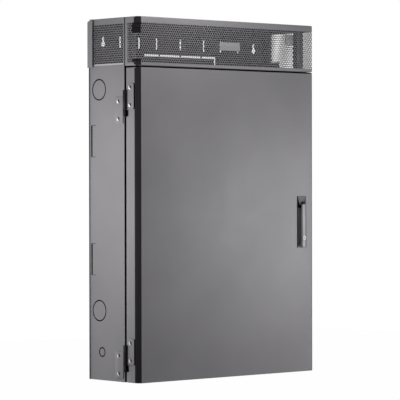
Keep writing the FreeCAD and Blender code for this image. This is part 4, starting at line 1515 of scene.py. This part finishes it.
# ------------------------------------------------------------------------------ CAD nodes
@dataclass
class KeptNodes:
    """CAD nodes that stay as they are and only get their finish."""

    COATED = ("floor_panel", "cover_standoffs")
    # Inner parts that take the dark coat as painted shade.
    SHADED_INSIDE = ("back_panel", "cable_entry_plate", "rail_left", "rail_right", "support_left",
              "support_right", "door_channel_left", "door_channel_right")
    # The left corner bracket is black as painted shade, the right one near white as painted
    # light that fades it into the light behind the hood's sheets.
    BLACK = ("corner_bracket_left", "handle_spindle", "lever_pin")
    PAINTED_LIGHT = ("corner_bracket_right",)
    STEEL = ("hinge_pin_lower", "hinge_pin_upper", "latch_cam", "cam_nut", "rail_screws",
             "earth_stud")

    sheet: float = 0.0016
    skin: float = 0.0001
    facing_up: float = 0.5

    def build(self, finishes: Finishes) -> None:
        """Give every CAD node that stays its finish.

        Args:
            finishes: the cabinet's finishes.
        """
        for names, material in ((self.COATED, finishes.coat), (self.SHADED_INSIDE, finishes.inside),
                                (self.BLACK, finishes.black), (self.STEEL, finishes.steel),
                                (self.PAINTED_LIGHT, finishes.painted_highlight)):
            for name in names:
                dress(cad(name), material)
                LOG.info("%s is coated", name)
        for side in ("left", "right"):
            self.paint_wall(cad(f"side_wall_{side}"), finishes)
        # The roof takes the dark coat as painted shade on every face that does not face up.
        paint(cad("roof_panel"), (finishes.coat, finishes.inside),
              lambda face: finishes.inside if face.normal.z < self.facing_up
              else finishes.coat)
        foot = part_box("vent_cover")[0].z
        for side in ("left", "right"):
            paint(cad(f"rear_flange_{side}"), (finishes.coat, finishes.cup),
                  lambda face: finishes.cup if face.center.z < foot - NEAR
                  else finishes.coat)

    def paint_wall(self, wall: Object, finishes: Finishes) -> None:
        """Paint a side wall: dark in its grooves, slits and front edge, and painted shade
        inside.

        Args:
            wall: the wall's CAD node.
            finishes: the cabinet's finishes.
        """
        outer = outer_face(wall.data)
        front = min(vertex.co.y for vertex in wall.data.vertices)
        within = self.sheet - self.skin

        def choose(face: Face) -> Material:
            """Choose one face's finish by how far it lies under the outer one.

            Args:
                face: a face of the wall.

            Returns:
                Dark inside the sheet's thickness, painted shade behind it and grey outside.
            """
            depth = outer - abs(face.center.x)
            if self.skin < depth < within or face.center.y < front + NEAR:
                return finishes.groove
            return finishes.inside if depth > within else finishes.coat

        paint(wall, (finishes.coat, finishes.groove, finishes.inside), choose)


@dataclass
class KnockOuts:
    """Thin rings and strips of painted shade over the round grooves and the upright slots of
    both side walls.
    """

    floor: float = 0.001
    spread: float = 0.0006
    proud: float = 0.00012
    reach: float = 0.002
    slot: float = 0.006
    tab: tuple[float, float] = (0.08, 0.11)
    round_within: float = 0.004
    sides: int = 48
    rim_cut: float = 0.01

    def build(self, finishes: Finishes) -> None:
        """Model the painted shade rings and strips of both walls.

        Args:
            finishes: the cabinet's finishes.
        """
        for side, name in ((-1, "left"), (1, "right")):
            wall = cad(f"side_wall_{name}").data
            outer = outer_face(wall)
            across = side * (outer + self.proud / 2)
            rims = [self.rim(across, *groove) for groove in self.grooves(wall, outer)]
            rims += [self.line(across, *slot) for slot in self.slots(wall, outer)]
            piece = Bench.join(f"knock_out_painted_shade_{name}", rims)
            dress(piece, finishes.groove)
            fit(piece, "cabinet", "powder_coat")

    def grooves(self, wall: Mesh, outer: float) -> list[tuple[float, ...]]:
        """Measure the round grooves of a wall.

        Args:
            wall: the wall's mesh.
            outer: how far its outer face lies from the middle.

        Returns:
            Depth and height of each middle, and the groove's two radii.
        """
        groups: list[set[tuple[float, float]]] = []
        for face in wall.polygons:
            if (abs(outer - abs(face.center.x) - self.floor) > NEAR
                    or abs(face.normal.x) < SQUARE):
                continue
            group = {(round(wall.vertices[index].co.y, 5), round(wall.vertices[index].co.z, 5))
                     for index in face.vertices}
            for other in [known for known in groups if not known.isdisjoint(group)]:
                group |= other
                groups.remove(other)
            groups.append(group)
        found = []
        for group in groups:
            depths, heights = [place[0] for place in group], [place[1] for place in group]
            centre = ((min(depths) + max(depths)) / 2, (min(heights) + max(heights)) / 2)
            radii = [math.dist(place, centre) for place in group]
            if max(radii) - min(radii) < self.round_within:
                found.append((*centre, min(radii), max(radii)))
        LOG.info("%d round grooves of %d", len(found), len(groups))
        return found

    def slots(self, wall: Mesh, outer: float) -> list[tuple[float, float, float]]:
        """Measure the upright slots of the lanced tabs.

        Args:
            wall: the wall's mesh.
            outer: how far its outer face lies from the middle.

        Returns:
            Front, foot and head of each slot.
        """
        found = set()
        for face in wall.polygons:
            if face.normal.y < SQUARE or abs(face.center.x) < outer - self.reach:
                continue
            heights = [wall.vertices[index].co.z for index in face.vertices]
            if self.tab[0] < max(heights) - min(heights) < self.tab[1]:
                found.add((round(face.center.y, 4), round(min(heights), 4),
                           round(max(heights), 4)))
        LOG.info("upright slots: %s", sorted(found))
        return sorted(found)

    def line(self, across: float, front: float, foot: float, head: float) -> Object:
        """A strip of painted shade along one upright slot."""
        half = self.proud / 2
        return Bench.block("slot_painted_shade", (across - half, front, foot),
                           (across + half, front + self.slot, head))

    def rim(self, across: float, depth: float, height: float, inner: float,
            reach: float) -> Object:
        """Model the flat ring of painted shade over one groove.

        Args:
            across: where the rim's middle plane is.
            depth: depth of the groove's middle.
            height: height of the groove's middle.
            inner: the groove's smaller radius.
            reach: its larger radius.

        Returns:
            The rim.
        """
        centre = (across, depth, height)
        rim = Bench.rod("rim", centre, reach + self.spread, self.proud, ACROSS, self.sides)
        bore = Bench.rod("bore", centre, inner - self.spread, self.rim_cut, ACROSS, self.sides)
        return Bench.carve(rim, bore)


# ------------------------------------------------------------------------------ studio
@dataclass(frozen=True)
class Lamp:
    """Soft lamp that looks at a point: square, or flat where a height is given."""

    name: str
    place: tuple[float, float, float]
    aim: tuple[float, float, float]
    size: float
    watts: float
    tall: float = 0.0

    def light(self) -> None:
        """Put the lamp in the scene."""
        light = bpy.data.lights.new(self.name, "AREA")
        if self.tall:
            light.shape = "RECTANGLE"
            light.size_y = self.tall
        light.size = self.size
        light.energy = self.watts
        lamp = bpy.data.objects.new(self.name, light)
        bpy.context.scene.collection.objects.link(lamp)
        way = Vector(self.aim) - Vector(self.place)
        lamp.location = self.place
        lamp.rotation_euler = way.to_track_quat("-Z", "Y").to_euler()


LAMPS = (
    Lamp("left_lamp", (-2.2, -0.4, 0.0), (-0.36, -0.1, 0.0), 0.9, 9.0),
    Lamp("left_spot", (-0.9, -0.12, 0.06), (-0.355, -0.1, 0.05), 0.25, 2.35),
    Lamp("front_lamp", (0.9, -1.1, 0.0), (0.1, -0.2, 0.0), 0.6, 4.6),
    Lamp("low_lamp", (0.75, -0.9, -0.3), (0.2, -0.224, -0.3), 0.5, 1.9),
    Lamp("top_spot", (-0.3, -0.6, 0.8), (-0.3, -0.2, 0.4), 0.3, 1.25),
    Lamp("hood_strip", (-0.1, -0.42, 0.74), (-0.12, -0.224, 0.52), 0.45, 0.45, 0.08),
    Lamp("back_lamp", (-0.6, 3.0, -0.9), (-0.36, -0.1, 0.0), 2.4, 25),
)


@dataclass
class Studio:
    """Pale floor, white surround, soft lamps and the camera."""

    floor_drop: float = 0.9
    floor_size: float = 24.0
    floor_tone: float = 0.82
    floor_rough: float = 0.9
    floor_white: float = 0.985
    surround: float = 0.27
    eye: tuple[float, float, float] = (-4.7478, -5.4726, 0.0566)
    yaw: float = math.radians(41.42)
    pitch: float = math.radians(-0.48)
    roll: float = math.radians(-0.10)
    lens: float = 212.36
    sensor: float = 36.0
    sight: float = 100.0

    def build(self) -> None:
        """Set up everything round the object."""
        self.floor()
        self.world()
        for lamp in LAMPS:
            lamp.light()
        self.camera()
        bpy.context.scene.view_settings.view_transform = "Standard"

    @staticmethod
    def white_to_camera(tree: Tree, lit: object, white: object, share: object,
                        output: str) -> None:
        """Show the camera white where other rays meet a plain shader.

        Args:
            tree: nodes of the floor's material or of the world.
            lit: the shader that other rays meet.
            white: the shader that the camera sees.
            share: how much of the white it sees.
            output: name of the tree's output node.
        """
        mix = tree.nodes.new("ShaderNodeMixShader")
        tree.links.new(share, mix.inputs["Fac"])
        tree.links.new(lit, mix.inputs[1])
        tree.links.new(white, mix.inputs[2])
        tree.links.new(mix.outputs["Shader"], tree.nodes[output].inputs["Surface"])

    def floor(self) -> None:
        """A pale floor well below the cabinet, nearly white to the camera."""
        Bench.clear()
        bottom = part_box("floor_panel")[0].z - self.floor_drop
        bpy.ops.mesh.primitive_plane_add(size=self.floor_size, location=(0, 0, bottom))
        floor = Bench.added("studio_floor")
        material = bpy.data.materials.new("studio_floor")
        material.use_nodes = True
        tree = material.node_tree
        shader = tree.nodes["Principled BSDF"]
        shader.inputs["Base Color"].default_value = (*[self.floor_tone] * 3, 1)
        shader.inputs["Roughness"].default_value = self.floor_rough
        glow = tree.nodes.new("ShaderNodeEmission")
        path = tree.nodes.new("ShaderNodeLightPath")
        share = tree.nodes.new("ShaderNodeMath")
        share.operation = "MULTIPLY"
        share.inputs[1].default_value = self.floor_white
        tree.links.new(path.outputs["Is Camera Ray"], share.inputs[0])
        self.white_to_camera(tree, shader.outputs["BSDF"], glow.outputs["Emission"],
                             share.outputs["Value"], "Material Output")
        floor.data.materials.append(material)

    def world(self) -> None:
        """White to the camera and a plain soft light to everything else."""
        world = bpy.data.worlds.new("studio")
        bpy.context.scene.world = world
        world.use_nodes = True
        tree = world.node_tree
        soft = tree.nodes["Background"]
        white = tree.nodes.new("ShaderNodeBackground")
        for light in (soft, white):
            light.inputs["Color"].default_value = (1, 1, 1, 1)
        soft.inputs["Strength"].default_value = self.surround
        path = tree.nodes.new("ShaderNodeLightPath")
        self.white_to_camera(tree, soft.outputs["Background"], white.outputs["Background"],
                             path.outputs["Is Camera Ray"], "World Output")

    def camera(self) -> None:
        """The camera, turned by yaw, pitch and roll."""
        ahead = Vector((math.sin(self.yaw) * math.cos(self.pitch),
                        math.cos(self.yaw) * math.cos(self.pitch), math.sin(self.pitch)))
        right = Vector((math.cos(self.yaw), -math.sin(self.yaw), 0))
        above = right.cross(ahead)
        across = right * math.cos(self.roll) + above * math.sin(self.roll)
        upward = above * math.cos(self.roll) - right * math.sin(self.roll)
        turn = Matrix((across, upward, -ahead)).transposed().to_4x4()
        data = bpy.data.cameras.new("camera")
        data.lens = self.lens
        data.sensor_width = self.sensor
        data.clip_end = self.sight
        camera = bpy.data.objects.new("camera", data)
        bpy.context.scene.collection.objects.link(camera)
        camera.matrix_world = Matrix.Translation(self.eye) @ turn
        bpy.context.scene.camera = camera


def main() -> None:
    """Build the looks of the cabinet, part by part."""
    logging.basicConfig(level=logging.INFO, format="%(name)s: %(message)s")
    finishes = Finishes()
    for part in (KeptNodes(), Door(), Hood(), SideVents(), KnockOuts(), Hinges(), HandleCup(),
                 Lever(), Lock(), Badge()):
        part.build(finishes)
        LOG.info("%s built", type(part).__name__)
    Studio().build()


if __name__ == "__main__":
    main()
